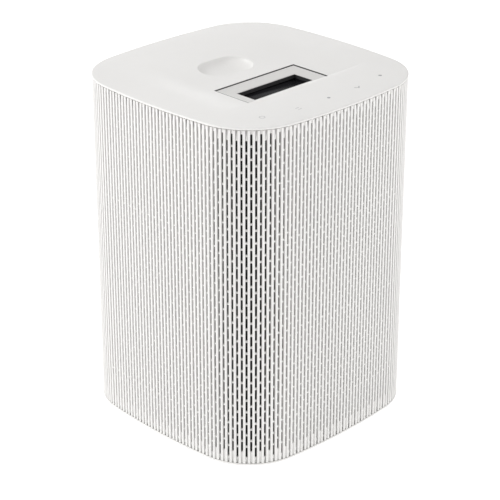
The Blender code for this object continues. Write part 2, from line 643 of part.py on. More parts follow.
def make_woofer():
    """The woofer, all on one axis with its origin on the lid's top face."""
    basket = turned("woofer_basket", [
        (62, 0.3), (62, 3.3), (47.5, 3.3), (46.8, -3), (37.6, -29.9), (37.6, -34.9), (26, -34.9),
        (26, -37.4), (40, -37.4), (40, -30.4), (49.4, -4), (49.4, 0.3)], "steel")
    for quarter in (0, 1):
        window = block("window", (-70, -19, -27), (70, 19, -8))
        window.data.transform(Matrix.Rotation(quarter * pi / 2, 4, "Z"))
        cut(basket, window)
    for x, y in woofer_screw_places():
        cut(basket, rod("hole", x, y, -2, 6, 1.8))
    cone = [(13.5 + 26.7 * t, -27.9 + 25.2 * t ** 0.9) for t in (0, 0.25, 0.5, 0.75, 1)]
    roll = [(37.5, -1.4), (40.5, -1.4)]
    for i in range(1, 6):
        t = i / 6
        roll.append((40.5 + 9.5 * t, -1.4 + 5 * t + 5 * sin(pi * t)))
    roll += [(50, 3.6), (55.3, 3.6)]
    folds = [(13.5 + 23.8 * i / 6, -32.2 + 0.8 * (-1) ** i * (0 < i < 6)) for i in range(7)]
    cap = [(17 * sin(a), -16.6 - 6.2 * (1 - cos(a))) for a in (0, pi / 6, pi / 3, pi / 2)]
    pieces = [
        basket,
        turned("woofer_cone", shell(cone, 1.0), "paper_cone"),
        turned("woofer_surround", shell(roll, 0.8), "dark_rubber"),
        turned("woofer_spider", shell(folds, 0.6), "amber_cloth"),
        turned("woofer_dust_cap", [(0, cap[0][1] + 0.7)] + [(r, z + 0.7) for r, z in cap[1:]]
               + list(reversed(cap)), "paper_cone"),
        turned("voice_coil", [(12.4, -50), (13.2, -50), (13.2, -26), (12.4, -26)], "copper"),
        turned("woofer_top_plate", [(13.6, -42), (36, -42), (36, -37.7), (13.6, -37.7)], "steel"),
        turned("woofer_magnet", [(18, -56.2), (37, -56.2), (37, -42.3), (18, -42.3)], "ferrite"),
        turned("woofer_back_plate", [(0, -61.4), (36, -61.4), (36, -56.5), (12, -56.5),
                                     (12, -38), (0, -38)], "steel")]
    for piece in pieces:
        piece.location = (0, 0, LID_TOP)


def make_tweeter(side, x):
    """A dome tweeter in the cabinet's front wall, its origin on the wall's outer face."""
    arc = [(9.8 * sin(a), 2.6 - 3.4 * (1 - cos(a))) for a in (0, pi / 6, pi / 3, pi / 2)]
    dome = arc + [(10.2, -1.3), (10.2, -6), (9.6, -6), (9.6, -1.5)]
    dome += [(r * 0.95, z - 0.6) for r, z in reversed(arc[:-1])]
    along_y(turned(f"tweeter_{side}_faceplate", [
        (15, -6), (15, 0.3), (18, 0.3), (18, 2), (17.5, 2.4), (14, 2.4), (10.7, 0.9),
        (10.7, -0.4), (13.2, -0.4), (13.2, -6)], "black_plastic", 18), x, -CABINET_HALF, TWEETER_Z)
    along_y(turned(f"tweeter_{side}_dome", dome, "amber_cloth", 18), x, -CABINET_HALF, TWEETER_Z)
    along_y(turned(f"tweeter_{side}_motor", [
        (0, -18), (12.8, -18), (12.8, -2), (10.8, -2), (10.8, -8), (9, -8), (9, -2), (0, -2)],
        "ferrite", 18), x, -CABINET_HALF, TWEETER_Z)


def main():
    clear_scene()
    make_cover()
    make_sleeve()
    make_base()
    make_base_screws()
    make_feet()
    make_display()
    make_ribbon()
    make_electronics()
    make_power_supply()
    make_wiring()
    make_cabinet()
    make_lid()
    make_port()
    make_frame()
    make_woofer()
    for side, x in (("left", -TWEETER_X), ("right", TWEETER_X)):
        make_tweeter(side, x)


main()
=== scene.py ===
"""The looks of a smart speaker: slotted sleeve, scooped cover with its window and finger dish,
touch marks, base, feet and screws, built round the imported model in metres, +Z up, front at -Y.
"""
import json
from math import cos, hypot, pi, radians, sin, sqrt

import bmesh
import bpy
from bpy.props import (FloatProperty, FloatVectorProperty, IntProperty, PointerProperty)
from mathutils import Matrix, Vector


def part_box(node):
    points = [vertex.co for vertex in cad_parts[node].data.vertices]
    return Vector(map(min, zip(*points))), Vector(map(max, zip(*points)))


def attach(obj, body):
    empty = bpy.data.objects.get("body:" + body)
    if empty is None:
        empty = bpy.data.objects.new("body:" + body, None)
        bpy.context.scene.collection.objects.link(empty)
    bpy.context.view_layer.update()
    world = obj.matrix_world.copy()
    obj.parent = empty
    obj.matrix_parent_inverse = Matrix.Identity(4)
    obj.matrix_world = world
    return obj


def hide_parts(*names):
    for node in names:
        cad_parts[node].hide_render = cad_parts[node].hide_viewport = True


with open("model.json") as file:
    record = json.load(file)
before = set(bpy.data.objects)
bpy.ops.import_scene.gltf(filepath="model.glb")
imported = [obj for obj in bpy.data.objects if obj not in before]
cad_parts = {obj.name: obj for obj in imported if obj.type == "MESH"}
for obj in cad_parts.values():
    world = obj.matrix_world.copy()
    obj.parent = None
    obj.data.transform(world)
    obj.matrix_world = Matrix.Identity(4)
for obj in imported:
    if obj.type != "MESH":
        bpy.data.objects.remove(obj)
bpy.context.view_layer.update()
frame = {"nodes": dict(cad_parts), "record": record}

bl_info = {
    "name": "Smart Speaker Looks",
    "version": (1, 0, 0),
    "blender": (4, 5, 0),
    "location": "3D View > Sidebar > Speaker",
    "description": "Models the outside of a slotted smart speaker round its fixed frame",
    "category": "Object",
}

MM = 0.001
COVER_LOW, COVER_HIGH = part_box("top_cover")
SLEEVE_LOW, SLEEVE_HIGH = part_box("grille_sleeve")
SCRIM_LOW, SCRIM_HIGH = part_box("acoustic_scrim")
BASE_LOW, BASE_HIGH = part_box("base_plate")
BEZEL_LOW, BEZEL_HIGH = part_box("display_bezel")
LENS_LOW, LENS_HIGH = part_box("display_lens")
SHROUD_LOW, SHROUD_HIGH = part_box("display_shroud")
INLET_LOW, INLET_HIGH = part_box("mains_inlet")
FOAM_LOW, FOAM_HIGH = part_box("damping_foam")
LID_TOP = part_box("cabinet_lid")[1].z
MAIN_BOARD_LOW, MAIN_BOARD_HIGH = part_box("main_board")
POWER_BOARD_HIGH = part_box("power_board")[1]
HOLDER_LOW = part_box("display_holder")[0]
TRAY_TOP = MAIN_BOARD_LOW.z - 4 * MM
TRAY_BOTTOM = TRAY_TOP - 3 * MM
GAP = 0.3 * MM
BODY = "chassis"


# ---------------------------------------------------------------- settings

def length(name, description, default):
    return FloatProperty(name=name, description=description, default=default, precision=5,
                         unit="LENGTH", subtype="DISTANCE")


def colour(name, description, default):
    return FloatVectorProperty(name=name, description=description, default=default, size=3,
                               min=0.0, max=1.0, subtype="COLOR")


class BodySizes(bpy.types.PropertyGroup):
    """The plan of the body, a square with bowed sides and round corners."""
    half_width: length("Half Width", "From the middle to the side of the body", COVER_HIGH.x)
    corner_radius: length("Corner Radius", "Radius of the four round corners", 44 * MM)
    side_turn: FloatProperty(name="Side Turn", default=radians(5.8), subtype="ANGLE",
                             description="How far a bowed side turns either way from its middle")
    rim_inset: length("Rim Inset", "How far in the locating rims stand", 3.6 * MM)
    rim_wall: length("Rim Wall", "Wall of the locating rims", 2 * MM)


class GrilleSizes(bpy.types.PropertyGroup):
    """The upright ribs and the slots between them."""
    columns: IntProperty(name="Columns", default=200, min=8,
                         description="Grooves round the sleeve, every other one set higher")
    slots: IntProperty(name="Slots", default=26, min=1, description="Slots in each groove")
    inset: length("Inset", "From the body's outline in to the ribs' crests", 0.2 * MM)
    rib: length("Rib", "Width of a rib's crest", 1.64 * MM)
    groove_depth: length("Groove Depth", "From a rib's crest to the groove's floor", 0.7 * MM)
    floor: length("Floor", "Thickness of the groove's floor", 1.35 * MM)
    bridge: length("Bridge", "Height of the material between two slots", 1.6 * MM)
    arch: length("Arch", "How far a slot's rounded end swells", 0.35 * MM)
    crest_bevel: length("Crest Bevel", "Softening of a rib's two edges", 0.16 * MM)
    high_margin: length("High Margin", "Solid height over the raised slots", 2.7 * MM)
    low_margin: length("Low Margin", "Solid height under the lowered slots", 4.5 * MM)
    stagger: length("Stagger", "How much higher every other column's slots sit", 4.4 * MM)
    notch_half: length("Notch Half", "Half the width of the cord's way out", 5.4 * MM)
    notch_top: length("Notch Top", "Height of the cord's way out", 8.5 * MM)


class CoverSizes(bpy.types.PropertyGroup):
    """The cover, its scoop, window and finger dish."""
    wall: length("Wall", "Thickness of the cover", 2.5 * MM)
    edge_height: length("Edge Height", "Height of the visible edge band", 1.4 * MM)
    edge_round: length("Edge Round", "Radius of the top edge", 0.8 * MM)
    skirt: length("Skirt", "How far the rim reaches down into the sleeve", 10 * MM)
    print_relief: length("Print Relief", "Room kept for the printed marks", 0.05 * MM)
    scoop_depth: length("Scoop Depth", "From the crown down to the scoop's floor", 3.3 * MM)
    scoop_flat: length("Scoop Flat", "Half the width of the scoop's level floor", 40 * MM)
    scoop_half: length("Scoop Half", "Half the width at which the scoop has faded out", 66 * MM)
    scoop_start: length("Scoop Start", "Where the floor starts to climb backwards", -10 * MM)
    scoop_back: length("Scoop Back", "Where the scoop has faded out at the back", 84 * MM)
    step: length("Step", "Where the floor meets the strip of touch marks", -42 * MM)
    roll: length("Roll", "Width over which the strip's rear edge rolls down", 3 * MM)
    roll_drop: length("Roll Drop", "How far the strip's rear edge rolls down", 0.45 * MM)
    wall_run: length("Wall Run", "How far the wall behind the strip leans", 0.1 * MM)
    window_half: length("Window Half", "Half the width of the window", 37.4 * MM)
    window_front: length("Window Front", "Front edge of the window", -41.8 * MM)
    window_back: length("Window Back", "Rear edge of the window", -4.1 * MM)
    dish_middle: length("Dish Middle", "Middle of the finger dish", 23.5 * MM)
    dish_length: length("Dish Length", "Length of the finger dish", 41 * MM)
    dish_width: length("Dish Width", "Width of the finger dish", 27 * MM)
    dish_depth: length("Dish Depth", "Depth of the finger dish", 5 * MM)
    grid: length("Grid", "Spacing of the cover's mesh", 4 * MM)


class DisplaySizes(bpy.types.PropertyGroup):
    """The sunken frame of the display."""
    slot_half: length("Slot Half", "Half the width of the frame's opening", 27.2 * MM)
    slot_middle: length("Slot Middle", "Middle of the frame's opening", -23.7 * MM)
    slot_reach: length("Slot Reach", "Half the depth of the frame's opening", 8.5 * MM)
    slope: length("Slope", "How far the frame falls towards its opening", 1.2 * MM)
    lip: length("Lip", "Height of the opening's upright edge", 0.4 * MM)
    edge: length("Edge", "Softening of the frame's edges", 0.2 * MM)


class StageSettings(bpy.types.PropertyGroup):
    """The camera, the floor and the lights."""
    azimuth: FloatProperty(name="Azimuth", default=radians(-44.6), subtype="ANGLE",
                           description="Turn of the camera round the body, 0 at the front")
    elevation: FloatProperty(name="Elevation", default=radians(25.0), subtype="ANGLE",
                             description="Tilt of the view below the horizon")
    distance: length("Distance", "From the camera to the point it aims at", 1.287)
    aim_height: length("Aim Height", "Height of the point that the camera aims at", 0.112)
    lens: FloatProperty(name="Lens", default=132.7, min=1.0,
                        description="Focal length in millimetres on a 36 mm sensor")
    sky: FloatProperty(name="Sky", default=0.58, min=0.0, description="Strength of the sky")


class FinishColours(bpy.types.PropertyGroup):
    """The colours that a user would change."""
    shell: colour("Shell", "Moulded body and cover", (0.83, 0.82, 0.805))
    bezel: colour("Bezel", "Sunken display frame", (0.71, 0.70, 0.685))
    cloth: colour("Cloth", "Cloth behind the grille", (0.018, 0.018, 0.019))
    mark: colour("Mark", "Printed touch marks", (0.36, 0.36, 0.37))
    rubber: colour("Rubber", "Feet", (0.30, 0.30, 0.30))
    lens: colour("Lens", "Display window", (0.008, 0.008, 0.01))


# ---------------------------------------------------------------- outline of the body

class Outline:
    """The plan of the body, walked by distance from the middle of its right side."""

    def __init__(self, body, inset=0.0):
        spread = cos(body.side_turn) - sin(body.side_turn)
        self.turn = body.side_turn
        side_radius = (body.half_width - body.corner_radius * spread) / (1 - spread)
        self.side_centre = body.half_width - side_radius
        self.corner_centre = (side_radius - body.corner_radius) * sin(self.turn)
        self.side_reach = side_radius - inset
        self.corner_reach = body.corner_radius - inset
        self.side = 2 * self.turn * self.side_reach
        self.quarter = self.side + (pi / 2 - 2 * self.turn) * self.corner_reach
        self.length = 4 * self.quarter

    def place(self, distance, depth=0.0, z=0.0):
        """The point at that distance, moved inwards by a depth."""
        quarter, along = divmod(distance + self.side / 2, self.quarter)
        if along <= self.side:
            angle = along / self.side_reach - self.turn
            x = self.side_centre + (self.side_reach - depth) * cos(angle)
            y = (self.side_reach - depth) * sin(angle)
        else:
            angle = self.turn + (along - self.side) / self.corner_reach
            x = self.corner_centre + (self.corner_reach - depth) * cos(angle)
            y = self.corner_centre + (self.corner_reach - depth) * sin(angle)
        c, s = cos(quarter * pi / 2), sin(quarter * pi / 2)
        return Vector((x * c - y * s, x * s + y * c, z))

    def loop(self, depth, z, points=200):
        return [self.place(self.length * i / points, depth, z) for i in range(points)]


# ---------------------------------------------------------------- mesh helpers

def smoothly(share):
    share = min(max(share, 0.0), 1.0)
    return share * share * (3 - 2 * share)


def first_loop(bm, points):
    """A closed ring of edges, each vertex numbered so that later rings line up with it."""
    number = bm.verts.layers.int.new("number")
    verts = [bm.verts.new(point) for point in points]
    for i, vert in enumerate(verts):
        vert[number] = i
    return [bm.edges.new((verts[i - 1], verts[i])) for i in range(len(verts))]


def next_loop(bm, edges, points):
    """Extrude a ring of edges to new places and return the new ring."""
    number = bm.verts.layers.int["number"]
    made = bmesh.ops.extrude_edge_only(bm, edges=edges)["geom"]
    verts = {item for item in made if isinstance(item, bmesh.types.BMVert)}
    for vert in verts:
        vert.co = points[vert[number]]
    return [item for item in made if isinstance(item, bmesh.types.BMEdge)
            and item.verts[0] in verts and item.verts[1] in verts]


def stack_loops(bm, loops, closed=False):
    """Skin a row of rings, capped at both ends or closed into a tube's wall."""
    edges = start = first_loop(bm, loops[0])
    for points in loops[1:]:
        edges = next_loop(bm, edges, points)
    if closed:
        bmesh.ops.bridge_loops(bm, edges=start + edges)
        return []
    caps = []
    for ring in (start, edges):
        caps += bmesh.ops.edgeloop_fill(bm, edges=ring)["faces"]
    return caps


def slice_faces(bm, faces, place, direction):
    """Cut the faces along a plane and leave both sides."""
    parts = set(faces)
    for face in faces:
        parts.update(face.edges, face.verts)
    bmesh.ops.bisect_plane(bm, geom=list(parts), dist=1e-7, plane_co=place, plane_no=direction)


def add_box(bm, low, high, edge=0.0):
    """A box between two corners, its upright edges rounded if an edge radius is given."""
    low, high = Vector(low), Vector(high)
    verts = bmesh.ops.create_cube(bm, size=1.0)["verts"]
    bmesh.ops.scale(bm, vec=high - low, verts=verts)
    bmesh.ops.translate(bm, vec=(low + high) / 2, verts=verts)
    if edge:
        upright = {e for v in verts for e in v.link_edges
                   if abs(e.verts[0].co.z - e.verts[1].co.z) > (high.z - low.z) / 2}
        bmesh.ops.bevel(bm, geom=list(upright), offset=edge, affect="EDGES", segments=3,
                        profile=0.5, material=-1)


def add_rod(bm, x, y, low, high, radius, segments=32):
    """An upright round rod."""
    place = Matrix.Translation((x, y, (low + high) / 2))
    bmesh.ops.create_cone(bm, cap_ends=True, segments=segments, radius1=radius, radius2=radius,
                          depth=high - low, matrix=place)


def turn_profile(bm, profile, place=Matrix.Identity(4), steps=24):
    """Turn a profile of (radius, height), which starts and ends on the axis, about Z."""
    spots = [bm.verts.new((radius, 0.0, z)) for radius, z in profile]
    edges = [bm.edges.new(pair) for pair in zip(spots, spots[1:])]
    made = bmesh.ops.spin(bm, geom=spots + edges, cent=(0, 0, 0), axis=(0, 0, 1), angle=2 * pi,
                          steps=steps, use_merge=True)["geom_last"]
    del made
    new = [v for v in bm.verts if not v.tag]
    bmesh.ops.remove_doubles(bm, verts=new, dist=1e-7)
    new = [v for v in bm.verts if not v.tag]
    bmesh.ops.transform(bm, matrix=place, verts=new)
    for vert in new:
        vert.tag = True
    return new


def apply_boolean(piece, cutter_bm, operation):
    """Cut or unite a finished piece with the closed bodies in a bmesh."""
    bmesh.ops.recalc_face_normals(cutter_bm, faces=cutter_bm.faces[:])
    mesh = bpy.data.meshes.new("cutter")
    cutter_bm.to_mesh(mesh)
    cutter_bm.free()
    cutter = bpy.data.objects.new("cutter", mesh)
    bpy.context.scene.collection.objects.link(cutter)
    modifier = piece.modifiers.new("boolean", "BOOLEAN")
    modifier.operation, modifier.solver, modifier.object = operation, "EXACT", cutter
    bpy.context.view_layer.update()
    seen = piece.evaluated_get(bpy.context.evaluated_depsgraph_get())
    result = bpy.data.meshes.new_from_object(seen)
    if not result.polygons:
        raise RuntimeError(f"the Boolean on {piece.name} left nothing")
    piece.modifiers.clear()
    piece.data = result
    bpy.data.objects.remove(cutter, do_unlink=True)
    bpy.data.meshes.remove(mesh)


def add_piece(name, bm, material, replaced=(), smooth=35.0, recalculate=True):
    """Make an object of a bmesh and tie it to the frame."""
    if recalculate:
        bmesh.ops.recalc_face_normals(bm, faces=bm.faces[:])
    mesh = bpy.data.meshes.new(name)
    bm.to_mesh(mesh)
    bm.free()
    mesh.materials.append(material)
    piece = bpy.data.objects.new(name, mesh)
    bpy.context.scene.collection.objects.link(piece)
    shade(piece, smooth)
    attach(piece, BODY)
    if replaced:
        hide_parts(*replaced)
    return piece


def shade(piece, smooth):
    piece.data.shade_smooth()
    piece.data.set_sharp_from_angle(angle=radians(smooth))


# ---------------------------------------------------------------- materials

class Finish:
    """A Principled material whose colour, gloss and relief come from patterns on the object."""

    def __init__(self, name, metallic=0.0):
        self.material = bpy.data.materials.new(name)
        self.material.use_nodes = True
        self.tree = self.material.node_tree
        self.shader = self.tree.nodes["Principled BSDF"]
        self.shader.inputs["Metallic"].default_value = metallic
        self.height = None

    def node(self, kind, **values):
        made = self.tree.nodes.new(kind)
        for key, value in values.items():
            setattr(made, key, value)
        return made

    def coordinates(self, scale=(1.0, 1.0, 1.0), source="Object"):
        """Object or UV coordinates, stretched by a mapping."""
        place = self.node("ShaderNodeTexCoord")
        mapping = self.node("ShaderNodeMapping")
        mapping.inputs["Scale"].default_value = scale
        self.tree.links.new(place.outputs[source], mapping.inputs["Vector"])
        return mapping.outputs["Vector"]

    def noise(self, size, detail=2.0, stretch=(1.0, 1.0, 1.0)):
        """Cloudy noise whose patches are about that size."""
        made = self.node("ShaderNodeTexNoise")
        made.inputs["Scale"].default_value = 1.0 / size
        made.inputs["Detail"].default_value = detail
        self.tree.links.new(self.coordinates(stretch), made.inputs["Vector"])
        return made.outputs["Fac"]

    def cells(self, size, feature="F1"):
        made = self.node("ShaderNodeTexVoronoi", feature=feature)
        made.inputs["Scale"].default_value = 1.0 / size
        self.tree.links.new(self.coordinates(), made.inputs["Vector"])
        return made.outputs["Distance"]

    def bands(self, pitch, direction="Z", source="Object"):
        """Parallel ridges of that pitch."""
        made = self.node("ShaderNodeTexWave", wave_type="BANDS", bands_direction=direction)
        made.inputs["Scale"].default_value = pi / 10.0 / pitch
        made.inputs["Distortion"].default_value = 0.0
        self.tree.links.new(self.coordinates(source=source), made.inputs["Vector"])
        return made.outputs["Fac"]

    def combine(self, first, second, operation="MULTIPLY"):
        made = self.node("ShaderNodeMath", operation=operation)
        for i, value in enumerate((first, second)):
            if isinstance(value, float):
                made.inputs[i].default_value = value
            else:
                self.tree.links.new(value, made.inputs[i])
        return made.outputs["Value"]

    def ranged(self, pattern, low, high, source=(0.3, 0.7)):
        made = self.node("ShaderNodeMapRange")
        made.inputs["From Min"].default_value, made.inputs["From Max"].default_value = source
        made.inputs["To Min"].default_value, made.inputs["To Max"].default_value = low, high
        self.tree.links.new(pattern, made.inputs["Value"])
        return made.outputs["Result"]

    def tint(self, pattern, base, spread, other=None):
        """Vary the colour with a pattern, by a share of itself or towards another colour."""
        mix = self.node("ShaderNodeMix", data_type="RGBA")
        other = other or [min(1.0, c * (1 + spread)) for c in base]
        mix.inputs["A"].default_value = (*[c * (1 - spread) for c in base], 1.0)
        mix.inputs["B"].default_value = (*other, 1.0)
        sockets = [s for s in mix.inputs if s.type == "RGBA"]
        sockets[0].default_value = (*[c * (1 - spread) for c in base], 1.0)
        sockets[1].default_value = (*other, 1.0)
        self.tree.links.new(self.ranged(pattern, 0.0, 1.0), mix.inputs["Factor"])
        result = next(s for s in mix.outputs if s.type == "RGBA")
        self.tree.links.new(result, self.shader.inputs["Base Color"])
        return self

    def gloss(self, pattern, low, high):
        self.tree.links.new(self.ranged(pattern, low, high), self.shader.inputs["Roughness"])
        return self

    def relief(self, pattern, depth, strength=1.0):
        """Bump from a pattern, on top of any relief that is already there."""
        bump = self.node("ShaderNodeBump")
        bump.inputs["Strength"].default_value = strength
        bump.inputs["Distance"].default_value = depth
        self.tree.links.new(pattern, bump.inputs["Height"])
        if self.height:
            self.tree.links.new(self.height, bump.inputs["Normal"])
        self.height = bump.outputs["Normal"]
        self.tree.links.new(self.height, self.shader.inputs["Normal"])
        return self

    def set(self, **sockets):
        for name, value in sockets.items():
            self.shader.inputs[name.replace("_", " ")].default_value = value
        return self


def moulded(name, base, gloss=(0.42, 0.52), grain=0.35 * MM, depth=0.012 * MM):
    """Fine spark-eroded plastic: a soft mottle in the colour, a fine grain in the surface."""
    finish = Finish(name)
    finish.tint(finish.noise(60 * MM, 3.0), base, 0.012)
    finish.gloss(finish.noise(9 * MM, 4.0), *gloss)
    finish.relief(finish.noise(grain, 2.0), depth)
    return finish.material


def woven(name, base, pitch, source="Object", directions=("X", "Z")):
    """Plain weave: two crossing sets of threads."""
    finish = Finish(name)
    warp, weft = (finish.bands(pitch, d, source) for d in directions)
    threads = finish.combine(warp, weft)
    finish.tint(threads, base, 0.35)
    finish.gloss(finish.noise(2 * MM), 0.82, 0.95)
    finish.relief(threads, pitch * 0.3)
    finish.set(Sheen_Weight=0.03, Sheen_Roughness=0.5)
    return finish.material


def rubber(name, base):
    finish = Finish(name)
    finish.tint(finish.noise(7 * MM, 3.0), base, 0.06)
    finish.gloss(finish.noise(3 * MM, 3.0), 0.68, 0.84)
    finish.relief(finish.noise(0.25 * MM, 2.0), 0.03 * MM)
    return finish.material


def brushed(name, base, gloss, stretch=(1.0, 12.0, 1.0)):
    """Metal with fine lines along one way and a trace of handling marks."""
    finish = Finish(name, metallic=1.0)
    lines = finish.noise(0.35 * MM, 2.0, tuple(1.0 / s for s in stretch))
    finish.tint(finish.noise(12 * MM, 3.0), base, 0.05)
    finish.gloss(finish.noise(4 * MM, 4.0), *gloss)
    finish.relief(lines, 0.006 * MM)
    return finish.material


def circuit_board(name, base):
    """Solder mask over copper: lighter tracks in a grid, each a little raised."""
    finish = Finish(name)
    tracks = finish.node("ShaderNodeTexBrick", offset=0.37, squash=1.4, squash_frequency=3)
    tracks.inputs["Scale"].default_value = 1 / (9 * MM)
    tracks.inputs["Mortar Size"].default_value = 0.035
    finish.tree.links.new(finish.coordinates(), tracks.inputs["Vector"])
    finish.tint(tracks.outputs["Fac"], base, 0.15, other=[c * 1.6 + 0.02 for c in base])
    finish.gloss(finish.noise(5 * MM), 0.28, 0.4)
    finish.relief(tracks.outputs["Fac"], 0.03 * MM)
    return finish.material


def ferrite(name, base):
    finish = Finish(name)
    finish.tint(finish.cells(0.8 * MM), base, 0.25)
    finish.gloss(finish.noise(2 * MM), 0.55, 0.75)
    finish.relief(finish.cells(0.5 * MM), 0.05 * MM)
    return finish.material


def pressed_paper(name, base):
    """Felted fibres, lying every way."""
    finish = Finish(name)
    fibres = finish.combine(finish.noise(0.6 * MM, 6.0, (1, 6, 1)),
                            finish.noise(0.6 * MM, 6.0, (6, 1, 1)))
    finish.tint(fibres, base, 0.3)
    finish.gloss(finish.noise(3 * MM), 0.85, 0.95)
    finish.relief(fibres, 0.12 * MM)
    return finish.material


def wound_wire(name, base):
    """Copper wire wound in even turns."""
    finish = Finish(name, metallic=1.0)
    turns = finish.bands(0.3 * MM, "Z")
    finish.tint(turns, base, 0.15)
    finish.gloss(finish.noise(2 * MM), 0.25, 0.4)
    finish.relief(turns, 0.08 * MM)
    return finish.material


def open_foam(name, base):
    finish = Finish(name)
    cells = finish.cells(0.9 * MM, "SMOOTH_F1")
    finish.tint(cells, base, 0.35)
    finish.gloss(finish.noise(2 * MM), 0.92, 1.0)
    finish.relief(cells, 0.3 * MM)
    return finish.material


def film(name, base):
    """Flexible film with copper tracks running along it."""
    finish = Finish(name)
    tracks = finish.bands(0.8 * MM, "X")
    finish.tint(tracks, base, 0.25)
    finish.gloss(finish.noise(3 * MM), 0.25, 0.4)
    finish.relief(tracks, 0.03 * MM)
    return finish.material


def dark_glass(name, base):
    """Smoked window: deep colour, low glare, a trace of wiping marks in the gloss."""
    finish = Finish(name)
    finish.tint(finish.noise(15 * MM), base, 0.2)
    finish.gloss(finish.noise(8 * MM, 5.0, (1, 3, 1)), 0.16, 0.26)
    finish.relief(finish.noise(25 * MM), 0.01 * MM)
    finish.set(Specular_IOR_Level=0.12)
    return finish.material


def make_finishes(colours):
    """Every material slot of the record, by name."""
    return {
        "shell_white": moulded("shell_white", colours.shell),
        "bezel_white": moulded("bezel_white", colours.bezel, (0.5, 0.6), 0.3 * MM),
        "black_cloth": woven("black_cloth", colours.cloth, 0.5 * MM, "UV", ("X", "Y")),
        "black_plastic": moulded("black_plastic", (0.035, 0.035, 0.037), (0.4, 0.55), 0.4 * MM,
                                 0.03 * MM),
        "lens_glass": dark_glass("lens_glass", colours.lens),
        "grey_rubber": rubber("grey_rubber", colours.rubber),
        "dark_rubber": rubber("dark_rubber", (0.03, 0.03, 0.03)),
        "board_green": circuit_board("board_green", (0.02, 0.12, 0.06)),
        "steel": brushed("steel", (0.62, 0.62, 0.63), (0.28, 0.4)),
        "aluminium": brushed("aluminium", (0.78, 0.78, 0.79), (0.32, 0.45)),
        "ferrite": ferrite("ferrite", (0.08, 0.08, 0.085)),
        "paper_cone": pressed_paper("paper_cone", (0.05, 0.05, 0.055)),
        "amber_cloth": woven("amber_cloth", (0.5, 0.29, 0.09), 0.45 * MM,
                             directions=("X", "Y")),
        "amber_film": film("amber_film", (0.55, 0.3, 0.08)),
        "copper": wound_wire("copper", (0.72, 0.36, 0.18)),
        "brass": brushed("brass", (0.75, 0.58, 0.25), (0.22, 0.34)),
        "grey_foam": open_foam("grey_foam", (0.16, 0.16, 0.17)),
        "touch_print": moulded("touch_print", colours.mark, (0.5, 0.6), 0.2 * MM),
    }


def finish_of(name):
    """A finish by its slot's name; all of them are made the first time that one is asked for."""
    found = bpy.data.materials.get("finish " + name)
    if found is None:
        for material in list(bpy.data.materials):
            material.name = "packed " + material.name
        for slot, material in make_finishes(bpy.context.scene.speaker_colours).items():
            material.name = "finish " + slot
        found = bpy.data.materials["finish " + name]
    return found


# ---------------------------------------------------------------- grille sleeve

def make_column(grille, pitch, low, high, first_slot):
    """One flat column of the grille, outer side at -Y: half a rib, a slotted groove, half a rib."""
    bm = bmesh.new()
    bmesh.ops.create_grid(bm, x_segments=1, y_segments=1, size=0.5)
    bmesh.ops.scale(bm, vec=(pitch, high - low, 1), verts=bm.verts)
    bmesh.ops.rotate(bm, cent=(0, 0, 0), matrix=Matrix.Rotation(pi / 2, 3, "X"), verts=bm.verts)
    bmesh.ops.translate(bm, vec=(0, 0, (low + high) / 2), verts=bm.verts)
    half_groove = (pitch - grille.rib) / 2
    for x in (-half_groove, half_groove):
        slice_faces(bm, bm.faces[:], (x, 0, 0), (1, 0, 0))

    def groove():
        return [f for f in bm.faces if abs(f.calc_center_median().x) < half_groove]

    slice_faces(bm, groove(), (0, 0, 0), (1, 0, 0))
    spacing = (high - low - grille.high_margin - grille.low_margin
               - grille.stagger + grille.bridge) / grille.slots
    ends = []
    for i in range(grille.slots):
        bottom = first_slot + i * spacing
        ends += [bottom, bottom + spacing - grille.bridge]
    for z in ends:
        slice_faces(bm, groove(), (0, 0, z), (0, 0, 1))
    open_faces = [f for f in groove() if inside_slot(f.calc_center_median().z, ends)]
    bmesh.ops.delete(bm, geom=open_faces, context="FACES")
    for vert in bm.verts:
        if abs(vert.co.x) < 1e-7 and low + 1e-6 < vert.co.z < high - 1e-6:
            opening_above = any(abs(vert.co.z - z) < 1e-7 for z in ends[::2])
            vert.co.z -= grille.arch if opening_above else -grille.arch
    add_depth(bm, grille, half_groove)
    borders = [f for f in bm.faces if all(abs(abs(v.co.x) - pitch / 2) < 1e-7 for v in f.verts)]
    bmesh.ops.delete(bm, geom=borders, context="FACES")
    simplify_column(bm, half_groove)
    crests = [e for e in bm.edges if all(v.co.y < -grille.groove_depth / 2
                                         and abs(abs(v.co.x) - half_groove) < 1e-7 for v in e.verts)]
    bmesh.ops.bevel(bm, geom=crests, offset=grille.crest_bevel, affect="EDGES", segments=1,
                    profile=0.5, material=-1)
    return bm


def inside_slot(z, ends):
    return any(bottom < z < top for bottom, top in zip(ends[::2], ends[1::2]))


def add_depth(bm, grille, half_groove):
    """Give the flat column its floor thickness, then raise its two half ribs."""
    ribs = [f for f in bm.faces if abs(f.calc_center_median().x) > half_groove]
    made = bmesh.ops.extrude_face_region(bm, geom=bm.faces[:], use_keep_orig=True)["geom"]
    back = [v for v in made if isinstance(v, bmesh.types.BMVert)]
    bmesh.ops.translate(bm, vec=(0, grille.floor, 0), verts=back)
    made = bmesh.ops.extrude_face_region(bm, geom=ribs)["geom"]
    crest = [v for v in made if isinstance(v, bmesh.types.BMVert)]
    bmesh.ops.translate(bm, vec=(0, -grille.groove_depth, 0), verts=crest)


def simplify_column(bm, half_groove):
    """Merge level neighbours, but keep the upright lines where ribs meet the floor."""
    for edge in bm.edges:
        a, b = (v.co for v in edge.verts)
        edge.seam = abs(a.z - b.z) > 1e-6 and all(
            abs(abs(p.x) - half_groove) < 1e-7 and p.y > -1e-7 for p in (a, b))
    bmesh.ops.dissolve_limit(bm, angle_limit=radians(0.5), verts=bm.verts[:], edges=bm.edges[:],
                             delimit={"SEAM"})


